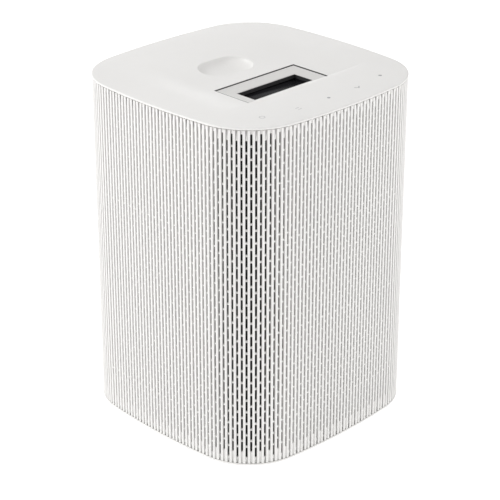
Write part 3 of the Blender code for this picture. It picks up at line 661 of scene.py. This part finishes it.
class SPEAKER_OT_sleeve(bpy.types.Operator):
    """Wrap the slotted columns round the body as one sleeve"""
    bl_idname = "speaker.sleeve"
    bl_label = "Slotted Sleeve"

    def execute(self, context):
        grille, body = context.scene.speaker_grille, context.scene.speaker_body
        outline = Outline(body, grille.inset)
        pitch = outline.length / grille.columns
        low, high = SLEEVE_LOW.z, SLEEVE_HIGH.z
        bm = bmesh.new()
        lowered = low + grille.low_margin
        columns = []
        for first_slot in (lowered, lowered + grille.stagger):
            column = make_column(grille, pitch, low, high, first_slot)
            mesh = bpy.data.meshes.new("column")
            column.to_mesh(mesh)
            column.free()
            columns.append(mesh)
        for i in range(grille.columns):
            start = len(bm.verts)
            bm.from_mesh(columns[i % 2])
            bm.verts.ensure_lookup_table()
            for vert in bm.verts[start:]:
                x, y, z = vert.co
                vert.co = outline.place((i + 0.5) * pitch + x, y + grille.groove_depth, z)
        bmesh.ops.remove_doubles(bm, verts=bm.verts[:], dist=1e-6)
        for mesh in columns:
            bpy.data.meshes.remove(mesh)
        piece = add_piece("slotted_sleeve", bm, finish_of("shell_white"),
                          ["grille_sleeve"], 25.0)
        cut_notch(piece, grille, body)
        shade(piece, 25.0)
        return {"FINISHED"}


def cut_notch(piece, grille, body):
    """Open the sleeve or the cloth at the back for the cord."""
    cutter = bmesh.new()
    add_box(cutter, (-grille.notch_half, body.half_width - 20 * MM, -MM),
            (grille.notch_half, body.half_width + 10 * MM, grille.notch_top))
    apply_boolean(piece, cutter, "DIFFERENCE")


class SPEAKER_OT_scrim(bpy.types.Operator):
    """Stretch the acoustic cloth behind the slots"""
    bl_idname = "speaker.scrim"
    bl_label = "Scrim Cloth"

    def execute(self, context):
        grille, body = context.scene.speaker_grille, context.scene.speaker_body
        outline = Outline(body)
        outer = body.half_width - SCRIM_HIGH.x
        thickness = 0.5 * MM
        low, high = SCRIM_LOW.z, SCRIM_HIGH.z
        bm = bmesh.new()
        corners = ((outer, low), (outer, high), (outer + thickness, high),
                   (outer + thickness, low))
        stack_loops(bm, [outline.loop(depth, z) for depth, z in corners], closed=True)
        piece = add_piece("scrim_cloth", bm, finish_of("black_cloth"),
                          ["acoustic_scrim"])
        cut_notch(piece, grille, body)
        shade(piece, 35.0)
        lay_cloth_pattern(piece, outline)
        return {"FINISHED"}


def lay_cloth_pattern(piece, outline):
    """UVs in metres, so that the weave follows the cloth round the body."""
    uv = piece.data.uv_layers.new(name="cloth")
    turn = Vector((1, 0))
    for loop in piece.data.loops:
        place = piece.data.vertices[loop.vertex_index].co
        angle = turn.angle_signed(Vector((place.x, place.y))) % (2 * pi)
        uv.data[loop.index].uv = (outline.length * angle / (2 * pi), place.z)


# ---------------------------------------------------------------- cover

def scoop_drop(cover, x, y):
    """How far the cover's surface lies below its crown."""
    fade = (abs(x) - cover.scoop_flat) / (cover.scoop_half - cover.scoop_flat)
    full = cover.scoop_depth * (1 - smoothly(fade))
    if y >= cover.step + cover.wall_run:
        climb = (y - cover.scoop_start) / (cover.scoop_back - cover.scoop_start)
        return full * (1 - smoothly(climb))
    share = min(max((y - cover.step) / cover.roll + 1, 0.0), 1.0)
    return full * cover.roll_drop / cover.scoop_depth * share * share


def dish_reach(cover, x, y):
    """Distance from the core line of the finger dish."""
    core = (cover.dish_length - cover.dish_width) / 2
    return hypot(max(abs(x) - core, 0.0), y - cover.dish_middle)


def pan_drop(cover, x, y):
    """How far the underside swells down round the dish."""
    rim = cover.dish_width / 2
    return cover.dish_depth * (1 - smoothly((dish_reach(cover, x, y) - rim) / (5 * MM)))


def cover_blank(cover, body, crown):
    """The cover's edge band, rim and two level faces, before the scoop."""
    outline = Outline(body)
    inner = body.rim_inset + body.rim_wall
    top = COVER_HIGH.z
    edge = cover.edge_round
    profile = [(inner, top - cover.wall), (inner, top - cover.skirt),
               (body.rim_inset, top - cover.skirt), (body.rim_inset, top - cover.edge_height),
               (0.25 * MM, top - cover.edge_height), (0.07 * MM, top - cover.edge_height + 0.07 * MM),
               (0.0, top - cover.edge_height + 0.25 * MM)]
    for i in range(6):
        angle = pi / 2 * i / 5
        profile.append((edge * (1 - cos(angle)), crown - edge + edge * sin(angle)))
    bm = bmesh.new()
    mark = bm.faces.layers.int.new("cap")
    for face in stack_loops(bm, [outline.loop(depth, z) for depth, z in profile]):
        face[mark] = 1
    return bm, mark


def grid_lines(cover, reach):
    """Where the level faces are cut: evenly, and closely round the step."""
    count = round(reach / cover.grid)
    even = [cover.grid * i for i in range(-count, count + 1)]
    lines = [(Vector((x, 0, 0)), Vector((1, 0, 0))) for x in even]
    close = [cover.step - cover.roll * (1 - i / 6) for i in range(7)]
    close += [cover.step + cover.wall_run]
    rows = [y for y in even if not close[0] - MM < y < close[-1] + MM] + close
    return lines + [(Vector((0, y, 0)), Vector((0, 1, 0))) for y in rows]


def shape_cover(cover, body):
    """The blank, cut into a grid whose points drop into the scoop."""
    crown = COVER_HIGH.z - cover.print_relief
    bm, mark = cover_blank(cover, body, crown)
    for place, direction in grid_lines(cover, body.half_width):
        slice_faces(bm, [f for f in bm.faces if f[mark]], place, direction)
    for vert in {v for f in bm.faces if f[mark] for v in f.verts}:
        x, y, z = vert.co
        vert.co.z = z - scoop_drop(cover, x, y)
        if z < crown - MM:
            vert.co.z -= pan_drop(cover, x, y)
    return bm


def stadium(cover, radius, z, points=64):
    """A ring round the dish's core line, laid on the cover's surface and moved by z."""
    core = (cover.dish_length - cover.dish_width) / 2
    ring = []
    for i in range(points):
        angle = 2 * pi * (i + 0.5) / points
        x = radius * cos(angle) + (core if cos(angle) > 0 else -core)
        y = cover.dish_middle + radius * sin(angle)
        ring.append(Vector((x, y, COVER_HIGH.z - cover.print_relief
                            - scoop_drop(cover, x, y) + z)))
    return ring


def add_dish(bm, cover):
    """The bowl of the finger dish, with a flared rim that rounds the edge it cuts."""
    radius, depth = cover.dish_width / 2, cover.dish_depth
    flare = [(1.5, 1.6), (0.65, -0.02), (0.32, -0.12), (0.1, -0.32), (0.0, -0.62)]
    rings = [stadium(cover, radius + out * MM, z * MM) for out, z in flare]
    for i in range(1, 13):
        angle = radians(10 + 6.2 * i)
        rings.append(stadium(cover, radius * cos(angle), -depth * sin(angle)))
    stack_loops(bm, rings)


class SPEAKER_OT_cover(bpy.types.Operator):
    """Mould the scooped top cover with its window, finger dish and screw posts"""
    bl_idname = "speaker.cover"
    bl_label = "Scooped Cover"

    def execute(self, context):
        cover, body = context.scene.speaker_cover, context.scene.speaker_body
        top = COVER_HIGH.z
        piece = add_piece("scooped_cover", shape_cover(cover, body), finish_of("shell_white"),
                          ["top_cover"])
        posts, holes = bmesh.new(), bmesh.new()
        for x, y in four(62 * MM, 52 * MM):
            add_rod(posts, x, y, TRAY_TOP + GAP, top - 1.8 * MM, 4.5 * MM)
            add_rod(holes, x, y, TRAY_BOTTOM, top - 17 * MM, 1.6 * MM)
        for x in (-47 * MM, 47 * MM):
            add_rod(posts, x, -23 * MM, top - 13.4 * MM, top - 4 * MM, 3.5 * MM)
            add_rod(holes, x, -23 * MM, top - 16 * MM, top - 6.4 * MM, 1.4 * MM)
        apply_boolean(piece, posts, "UNION")
        add_box(holes, (-cover.window_half, cover.window_front, top - 15 * MM),
                (cover.window_half, cover.window_back, top + 5 * MM), 0.5 * MM)
        apply_boolean(piece, holes, "DIFFERENCE")
        dish = bmesh.new()
        add_dish(dish, cover)
        apply_boolean(piece, dish, "DIFFERENCE")
        shade(piece, 28.0)
        return {"FINISHED"}


def four(x, y):
    return [(sx * x, sy * y) for sy in (-1, 1) for sx in (-1, 1)]


# ---------------------------------------------------------------- display and touch marks

class SPEAKER_OT_display(bpy.types.Operator):
    """Mould the sunken display frame and its dark window"""
    bl_idname = "speaker.display"
    bl_label = "Display Frame and Window"

    def execute(self, context):
        display = context.scene.speaker_display
        bm = bmesh.new()
        low, high = BEZEL_LOW, BEZEL_HIGH
        corners = [(low.x, low.y), (high.x, low.y), (high.x, high.y), (low.x, high.y)]
        outer = bm.faces.new([bm.verts.new((x, y, high.z)) for x, y in corners])
        bmesh.ops.inset_individual(bm, faces=[outer], thickness=display.slot_reach)
        for vert in outer.verts:
            vert.co.x = display.slot_half * (1 if vert.co.x > 0 else -1)
            middle = (low.y + high.y) / 2
            vert.co.y = display.slot_middle + display.slot_reach * (1 if vert.co.y > middle else -1)
            vert.co.z = high.z - display.slope
        bmesh.ops.delete(bm, geom=[outer], context="FACES_ONLY")
        made = bmesh.ops.extrude_face_region(bm, geom=bm.faces[:], use_keep_orig=True)["geom"]
        for vert in (v for v in made if isinstance(v, bmesh.types.BMVert)):
            vert.co.z = high.z - display.slope - display.lip
        rims = [e for e in bm.edges if e.calc_length() > 10 * MM
                and all(v.co.z > low.z + 0.1 * MM for v in e.verts)
                and abs(e.verts[0].co.z - e.verts[1].co.z) < 1e-6]
        bmesh.ops.bevel(bm, geom=rims, offset=display.edge, affect="EDGES", segments=2,
                        profile=0.5, material=-1)
        add_piece("display_frame", bm, finish_of("bezel_white"),
                  ["display_bezel"], 20.0)
        bm = bmesh.new()
        add_box(bm, LENS_LOW, LENS_HIGH, 1.5 * MM)
        rim = [e for e in bm.edges if all(v.co.z > LENS_HIGH.z - 1e-6 for v in e.verts)]
        bmesh.ops.bevel(bm, geom=rim, offset=0.25 * MM, affect="EDGES", segments=2, profile=0.5,
                        material=-1)
        add_piece("window_pane", bm, finish_of("lens_glass"), ["display_lens"])
        self.shroud(context.scene.speaker_cover, display)
        return {"FINISHED"}

    def shroud(self, cover, display):
        """The black surround, whose thin rim stands in the gap between cover and frame as painted
        shade, so that the gap shows dark like a shadow.
        """
        low, high = SHROUD_LOW, SHROUD_HIGH
        bm = bmesh.new()
        add_box(bm, low, (high.x, high.y, high.z - 0.4 * MM), 2 * MM)
        piece = add_piece("light_shroud", bm, finish_of("black_plastic"),
                          ["display_shroud"])
        rim, inside, pad, opening = (bmesh.new() for _ in range(4))
        top = COVER_HIGH.z - cover.scoop_depth - 0.1 * MM
        corners = (Vector((-cover.window_half, cover.window_front, 0)),
                   Vector((cover.window_half, cover.window_back, 0)))
        step = Vector((1, 1, 0)) * MM
        # Painted shade: the black rim rises into the gap between cover and frame so that the gap
        # shows dark.
        add_box(rim, corners[0] + 0.1 * step + Vector((0, 0, low.z + MM)),
                corners[1] - 0.1 * step + Vector((0, 0, top)), 0.3 * MM)
        add_box(inside, corners[0] + 0.5 * step + Vector((0, 0, high.z - 0.4 * MM)),
                corners[1] - 0.5 * step + Vector((0, 0, top + MM)), 0.3 * MM)
        add_box(pad, (-36 * MM, -40.6 * MM, low.z + MM), (36 * MM, -5.5 * MM, high.z))
        half, reach = display.slot_half + 0.15 * MM, display.slot_reach + 0.15 * MM
        add_box(opening, (-half, display.slot_middle - reach, low.z - MM),
                (half, display.slot_middle + reach, top + MM))
        for part, operation in ((rim, "UNION"), (inside, "DIFFERENCE"), (pad, "UNION"),
                                (opening, "DIFFERENCE")):
            apply_boolean(piece, part, operation)
        shade(piece, 30.0)


class SPEAKER_OT_marks(bpy.types.Operator):
    """Print the five generic touch marks on the front strip"""
    bl_idname = "speaker.marks"
    bl_label = "Touch Marks"

    def execute(self, context):
        cover = context.scene.speaker_cover
        base = COVER_HIGH.z - cover.print_relief + 0.01 * MM
        self.thickness = 0.03 * MM
        bm = bmesh.new()
        self.ring(bm, (-55.3 * MM, -66.9 * MM, base), 2.0 * MM, 0.3 * MM)
        for side in (-1, 1):
            middle = Vector((-27.9 * MM, (-72.1 + 1.3 * side) * MM, base))
            half = Vector((1.5 * MM, 0.17 * MM, 0))
            add_box(bm, middle - half, middle + half + Vector((0, 0, self.thickness)))
        self.dot(bm, (0.0, -72.1 * MM, base), 1.15 * MM)
        self.chevron(bm, (27.9 * MM, -72.3 * MM, base), 2.3 * MM, 0.7 * MM)
        self.dot(bm, (55.3 * MM, -66.9 * MM, base), 1.25 * MM)
        add_piece("touch_marks", bm, finish_of("touch_print"))
        return {"FINISHED"}

    def dot(self, bm, place, radius):
        lift = Matrix.Translation(Vector(place) + Vector((0, 0, self.thickness / 2)))
        bmesh.ops.create_cone(bm, cap_ends=True, segments=24, radius1=radius, radius2=radius,
                              depth=self.thickness, matrix=lift)

    def ring(self, bm, place, radius, stroke):
        """A flat ring, spun from its rectangular section."""
        spots = [bm.verts.new((r, 0.0, z)) for r, z in (
            (radius - stroke, 0), (radius, 0), (radius, self.thickness),
            (radius - stroke, self.thickness))]
        edges = [bm.edges.new((spots[i - 1], spots[i])) for i in range(4)]
        before = set(bm.verts) - set(spots)
        bmesh.ops.spin(bm, geom=spots + edges, cent=(0, 0, 0), axis=(0, 0, 1), angle=2 * pi,
                       steps=32, use_merge=True)
        new = [v for v in bm.verts if v not in before]
        bmesh.ops.translate(bm, vec=place, verts=new)

    def chevron(self, bm, place, reach, stroke):
        """A V that points at the user."""
        x, y, z = place
        points = [(-reach, reach / 2), (0, -reach / 2), (reach, reach / 2),
                  (reach, reach / 2 + stroke), (0, -reach / 2 + 1.3 * stroke),
                  (-reach, reach / 2 + stroke)]
        face = bm.faces.new([bm.verts.new((x + dx, y + dy, z)) for dx, dy in points])
        made = bmesh.ops.extrude_face_region(bm, geom=[face], use_keep_orig=True)["geom"]
        verts = [v for v in made if isinstance(v, bmesh.types.BMVert)]
        bmesh.ops.translate(bm, vec=(0, 0, self.thickness), verts=verts)


# ---------------------------------------------------------------- base and feet

def centre_of(node):
    low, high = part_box(node)
    return (low + high) / 2


class SPEAKER_OT_base(bpy.types.Operator):
    """Mould the base with its posts, lead recess and foot sockets"""
    bl_idname = "speaker.base"
    bl_label = "Base"

    def execute(self, context):
        body, grille = context.scene.speaker_body, context.scene.speaker_grille
        outline = Outline(body)
        bottom, edge = BASE_LOW.z, 0.5 * MM
        edge_top = SLEEVE_LOW.z - GAP
        inner = body.rim_inset + body.rim_wall
        floor, rim_top = 5.2 * MM, 14 * MM
        profile = [(edge * (1 - sin(pi / 2 * i / 4)), bottom + edge * (1 - cos(pi / 2 * i / 4)))
                   for i in range(5)]
        profile += [(0, edge_top - 0.15 * MM), (0.15 * MM, edge_top), (body.rim_inset, edge_top),
                    (body.rim_inset, rim_top), (inner, rim_top), (inner, floor)]
        bm = bmesh.new()
        stack_loops(bm, [outline.loop(depth, z) for depth, z in profile])
        piece = add_piece("base_shell", bm, finish_of("shell_white"),
                          ["base_plate"])
        adds, cuts, recess = bmesh.new(), bmesh.new(), bmesh.new()
        for i in range(1, 5):
            place = centre_of(f"base_screw_{i}")
            add_rod(adds, place.x, place.y, 4 * MM, BASE_HIGH.z, 6 * MM)
            add_rod(cuts, place.x, place.y, -MM, 30 * MM, 3.6 * MM)
        for x, y in POWER_BOARD_SCREWS:
            add_rod(adds, x, y, 4 * MM, POWER_BOARD_HIGH.z - 1.9 * MM, 3.2 * MM)
            add_rod(cuts, x, y, 3.7 * MM, 12 * MM, 1.5 * MM)
        add_box(adds, (-17 * MM, 36 * MM, 4 * MM), (17 * MM, 78 * MM, 21 * MM))
        apply_boolean(piece, adds, "UNION")
        roof = bmesh.new()
        add_box(roof, (-7.4 * MM, 77 * MM, 4 * MM), (7.4 * MM, 85.5 * MM, 10.2 * MM))
        apply_boolean(piece, roof, "UNION")
        for node in FEET:
            place = centre_of(node)
            add_rod(cuts, place.x, place.y, -MM, 3.3 * MM, 11.3 * MM, 48)
        apply_boolean(piece, cuts, "DIFFERENCE")
        shafts = bmesh.new()
        for i in range(1, 5):
            place = centre_of(f"base_screw_{i}")
            add_rod(shafts, place.x, place.y, 20 * MM, BASE_HIGH.z + 3 * MM, 1.9 * MM)
        add_box(recess, (-15 * MM, 38 * MM, -MM), (15 * MM, 76 * MM, 19 * MM), 2.5 * MM)
        apply_boolean(piece, recess, "DIFFERENCE")
        add_box(shafts, (-grille.notch_half, 74 * MM, -MM),
                (grille.notch_half, 100 * MM, 8.2 * MM))
        side = 10.3 * MM
        add_box(shafts, (-side, 35 * MM, INLET_LOW.z - GAP), (side, 42 * MM, INLET_HIGH.z + GAP))
        apply_boolean(piece, shafts, "DIFFERENCE")
        shade(piece, 30.0)
        return {"FINISHED"}


FEET = ("foot_front_left", "foot_front_right", "foot_rear_left", "foot_rear_right")
POWER_BOARD_SCREWS = ((-38 * MM, -57 * MM), (38 * MM, -57 * MM), (-38 * MM, 5 * MM),
                      (38 * MM, 5 * MM))


class SPEAKER_OT_feet(bpy.types.Operator):
    """Turn the four rubber feet"""
    bl_idname = "speaker.feet"
    bl_label = "Feet"

    def execute(self, context):
        for node in FEET:
            low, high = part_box(node)
            radius, middle = (high.x - low.x) / 2, centre_of(node)
            rise, edge = high.z - low.z, 0.6 * MM
            profile = [(0, 0.35 * MM), (radius * 0.55, 0.35 * MM), (radius * 0.62, 0)]
            profile += [(radius - edge + edge * sin(pi / 2 * i / 4),
                         edge - edge * cos(pi / 2 * i / 4)) for i in range(5)]
            profile += [(radius, rise - 0.2 * MM), (radius - 0.2 * MM, rise), (0, rise)]
            bm = bmesh.new()
            turn_profile(bm, profile, Matrix.Translation((middle.x, middle.y, low.z)), 48)
            add_piece("rubber_" + node, bm, finish_of("grey_rubber"), [node])
        return {"FINISHED"}


# ---------------------------------------------------------------- inside

SCREWS = {      # name: places, height of the bearing face, way of the shank, head, shank, length
    "cover_screws": (four(62 * MM, 52 * MM), TRAY_BOTTOM - GAP, 1, 3.0, 1.5, 19),
    "frame_screws": (four(66 * MM, 36 * MM), TRAY_TOP + GAP, -1, 3.0, 1.5, 36),
    "lid_screws": (four(64 * MM, 64 * MM), LID_TOP + GAP, -1, 3.0, 1.5, 20),
    "woofer_screws": (four(58.5 * MM / sqrt(2), 58.5 * MM / sqrt(2)), LID_TOP + 3.6 * MM, -1,
                      2.6, 1.5, 7),
    "main_board_screws": ([(sx * 46 * MM, y * MM) for y in (-22, 48) for sx in (-1, 1)],
                          MAIN_BOARD_HIGH.z + GAP, -1, 2.4, 1.3, 6.5),
    "power_board_screws": (POWER_BOARD_SCREWS, POWER_BOARD_HIGH.z + GAP, -1, 2.4, 1.3, 6.2),
    "display_screws": ([(-47 * MM, -23 * MM), (47 * MM, -23 * MM)], HOLDER_LOW.z - GAP, 1,
                       2.4, 1.3, 8.5),
}


def add_screw(bm, x, y, bearing, way, head, shank, reach):
    """A pan-head screw with a round socket; its shank points up for way 1, down for -1."""
    tall = 0.8 * head
    profile = [(0, -tall), (head * 0.7, -tall), (head * 0.92, -tall * 0.8), (head, -tall * 0.45),
               (head, 0), (shank, 0), (shank, reach - shank), (shank * 0.35, reach), (0, reach)]
    profile = [(radius * MM, z * MM) for radius, z in profile]
    place = Matrix.Translation((x, y, bearing)) @ Matrix.Diagonal((1, 1, way, 1))
    verts = turn_profile(bm, profile, place)
    crown = bearing - way * tall * MM
    faces = {f for v in verts if abs(v.co.z - crown) < 1e-7 and hypot(v.co.x - x, v.co.y - y) < 1e-6
             for f in v.link_faces}
    bmesh.ops.inset_region(bm, faces=list(faces), thickness=head * 0.25 * MM)
    made = bmesh.ops.extrude_face_region(bm, geom=list(faces))["geom"]
    socket = [v for v in made if isinstance(v, bmesh.types.BMVert)]
    for vert in socket:
        vert.co.z += way * tall * 0.5 * MM
    for vert in (v for v in bm.verts if not v.tag):
        vert.tag = True


class SPEAKER_OT_screws(bpy.types.Operator):
    """Drive the screws that hold the frame, cover, boards, woofer and display"""
    bl_idname = "speaker.screws"
    bl_label = "Screws"

    def execute(self, context):
        for name, (places, bearing, way, head, shank, reach) in SCREWS.items():
            bm = bmesh.new()
            for x, y in places:
                add_screw(bm, x, y, bearing, way, head, shank, reach)
            add_piece(name, bm, finish_of("steel"))
        return {"FINISHED"}


class SPEAKER_OT_spider(bpy.types.Operator):
    """Press the woofer's corrugated spider, dished at its middle to clear the cone's travel"""
    bl_idname = "speaker.spider"
    bl_label = "Woofer Spider"

    def execute(self, context):
        low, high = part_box("woofer_spider")
        outer, inner = (high.x - low.x) / 2, 13.6 * MM
        land, sink = 2.2 * MM, -1.7 * MM
        middle, fold, thickness, folds = (low.z + high.z) / 2, 0.8 * MM, 0.6 * MM, 5
        line = [(inner, sink), (inner + land, sink)]
        span = (outer - inner - land) / (folds + 1)
        for i in range(1, folds + 1):
            line.append((inner + land + span * i, fold * (-1) ** (i + 1)))
        line.append((outer, 0.0))
        section = [(r, z - thickness / 2) for r, z in line]
        section += [(r, z + thickness / 2) for r, z in reversed(line)]
        bm = bmesh.new()
        spots = [bm.verts.new((r, 0.0, middle + z)) for r, z in section]
        edges = [bm.edges.new((spots[i - 1], spots[i])) for i in range(len(spots))]
        bmesh.ops.spin(bm, geom=spots + edges, cent=(0, 0, 0), axis=(0, 0, 1), angle=2 * pi,
                       steps=48, use_merge=True)
        add_piece("dished_spider", bm, finish_of("amber_cloth"),
                  ["woofer_spider"])
        return {"FINISHED"}


class SPEAKER_OT_foam(bpy.types.Operator):
    """Cut the damping pad inside the cabinet, waved on its open side"""
    bl_idname = "speaker.foam"
    bl_label = "Damping Pad"

    def execute(self, context):
        low, high = FOAM_LOW, FOAM_HIGH
        bm = bmesh.new()
        add_box(bm, low, high, 2 * MM)
        front = min(bm.faces, key=lambda f: f.calc_center_median().y)
        for i in range(1, 40):
            x = low.x + (high.x - low.x) * i / 40
            slice_faces(bm, bm.faces[:], (x, 0, 0), (1, 0, 0))
        for i in range(1, 16):
            z = low.z + (high.z - low.z) * i / 16
            slice_faces(bm, bm.faces[:], (0, 0, z), (0, 0, 1))
        del front
        wave = 2.2 * MM
        for vert in bm.verts:
            x, y, z = vert.co
            if y < low.y + 1e-5:
                across = sin((x - low.x) / (high.x - low.x) * 10 * pi)
                upward = sin((z - low.z) / (high.z - low.z) * 4 * pi)
                vert.co.y += wave * (0.5 + 0.5 * across * upward)
        pad = add_piece("damping_pad", bm, finish_of("grey_foam"), ["damping_foam"])
        return {"FINISHED"}


class SPEAKER_OT_carried(bpy.types.Operator):
    """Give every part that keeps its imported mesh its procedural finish"""
    bl_idname = "speaker.carried"
    bl_label = "Carried-over Parts"

    def execute(self, context):
        slots = {m["slot"] for m in frame["record"]["materials"]}
        for node in frame["nodes"].values():
            packed = node.data.materials[0].name.removeprefix("packed ")
            if packed not in slots:
                raise RuntimeError(f"{node.name} has no finish named {packed}")
            node.data.materials[0] = finish_of(packed)
        return {"FINISHED"}


# ---------------------------------------------------------------- stage

def area_light(name, place, aim, size, power):
    light = bpy.data.lights.new(name, "AREA")
    light.shape, light.size, light.energy = "DISK", size, power
    item = bpy.data.objects.new(name, light)
    item.location = place
    item.visible_camera = False
    item.rotation_euler = (Vector(aim) - Vector(place)).to_track_quat("-Z", "Y").to_euler()
    bpy.context.scene.collection.objects.link(item)


class SPEAKER_OT_stage(bpy.types.Operator):
    """Lay the pale floor and set the camera and the soft lights"""
    bl_idname = "speaker.stage"
    bl_label = "Stage"

    def execute(self, context):
        scene, stage = context.scene, context.scene.speaker_stage
        bm = bmesh.new()
        bmesh.ops.create_grid(bm, x_segments=1, y_segments=1, size=15.0)
        mesh = bpy.data.meshes.new("floor")
        bm.to_mesh(mesh)
        bm.free()
        floor = bpy.data.objects.new("floor", mesh)
        scene.collection.objects.link(floor)
        paper = Finish("studio_paper")
        paper.tint(paper.noise(0.5), (0.9, 0.9, 0.9), 0.01)
        paper.set(Roughness=0.9, Emission_Color=(1, 1, 1, 1), Emission_Strength=0.5)
        mesh.materials.append(paper.material)
        aim = Vector((0, 0, stage.aim_height))
        e, a = stage.elevation, stage.azimuth
        back = Vector((sin(a) * cos(e), -cos(a) * cos(e), sin(e)))
        lens = bpy.data.cameras.new("camera")
        lens.lens, lens.sensor_width = stage.lens, 36.0
        lens.clip_start, lens.clip_end = 0.01, 100.0
        camera = bpy.data.objects.new("camera", lens)
        camera.location = aim + back * stage.distance
        camera.rotation_euler = (-back).to_track_quat("-Z", "Y").to_euler()
        scene.collection.objects.link(camera)
        scene.camera = camera
        area_light("key_light", (-0.95, 0.95, 1.3), (0, 0, 0.15), 0.8, 15.5)
        area_light("fill_light", (0.7, -1.9, 0.8), (0, 0, 0.12), 1.4, 10.5)
        area_light("back_light", (2.4, 2.4, 0.55), (0, 0, 0.2), 0.8, 5.0)
        world = bpy.data.worlds.new("sky")
        world.use_nodes = True
        sky = world.node_tree.nodes["Background"]
        sky.inputs["Color"].default_value = (1, 1, 1, 1)
        sky.inputs["Strength"].default_value = stage.sky
        scene.world = world
        scene.view_settings.view_transform = "Standard"
        return {"FINISHED"}


# ---------------------------------------------------------------- add-on

SETTINGS = {
    "speaker_body": BodySizes,
    "speaker_grille": GrilleSizes,
    "speaker_cover": CoverSizes,
    "speaker_display": DisplaySizes,
    "speaker_stage": StageSettings,
    "speaker_colours": FinishColours,
}
OPERATORS = (SPEAKER_OT_carried, SPEAKER_OT_sleeve, SPEAKER_OT_scrim, SPEAKER_OT_cover,
             SPEAKER_OT_display, SPEAKER_OT_marks, SPEAKER_OT_base, SPEAKER_OT_feet,
             SPEAKER_OT_screws, SPEAKER_OT_spider, SPEAKER_OT_foam, SPEAKER_OT_stage)


class SPEAKER_PT_build(bpy.types.Panel):
    """Lists the speaker's build steps and their sizes"""
    bl_idname = "SPEAKER_PT_build"
    bl_label = "Smart Speaker"
    bl_space_type = "VIEW_3D"
    bl_region_type = "UI"
    bl_category = "Speaker"

    def draw(self, context):
        for operator in OPERATORS:
            self.layout.operator(operator.bl_idname)
        for name, group in SETTINGS.items():
            box = self.layout.box()
            for key in group.__annotations__:
                box.prop(getattr(context.scene, name), key)


def register():
    for item in (*SETTINGS.values(), *OPERATORS, SPEAKER_PT_build):
        bpy.utils.register_class(item)
    for name, group in SETTINGS.items():
        setattr(bpy.types.Scene, name, PointerProperty(type=group))


def unregister():
    for name in SETTINGS:
        delattr(bpy.types.Scene, name)
    for item in (SPEAKER_PT_build, *reversed(OPERATORS), *SETTINGS.values()):
        bpy.utils.unregister_class(item)


def main():
    register()
    for operator in OPERATORS:
        category, name = operator.bl_idname.split(".")
        getattr(getattr(bpy.ops, category), name)()


if __name__ == "__main__":
    main()
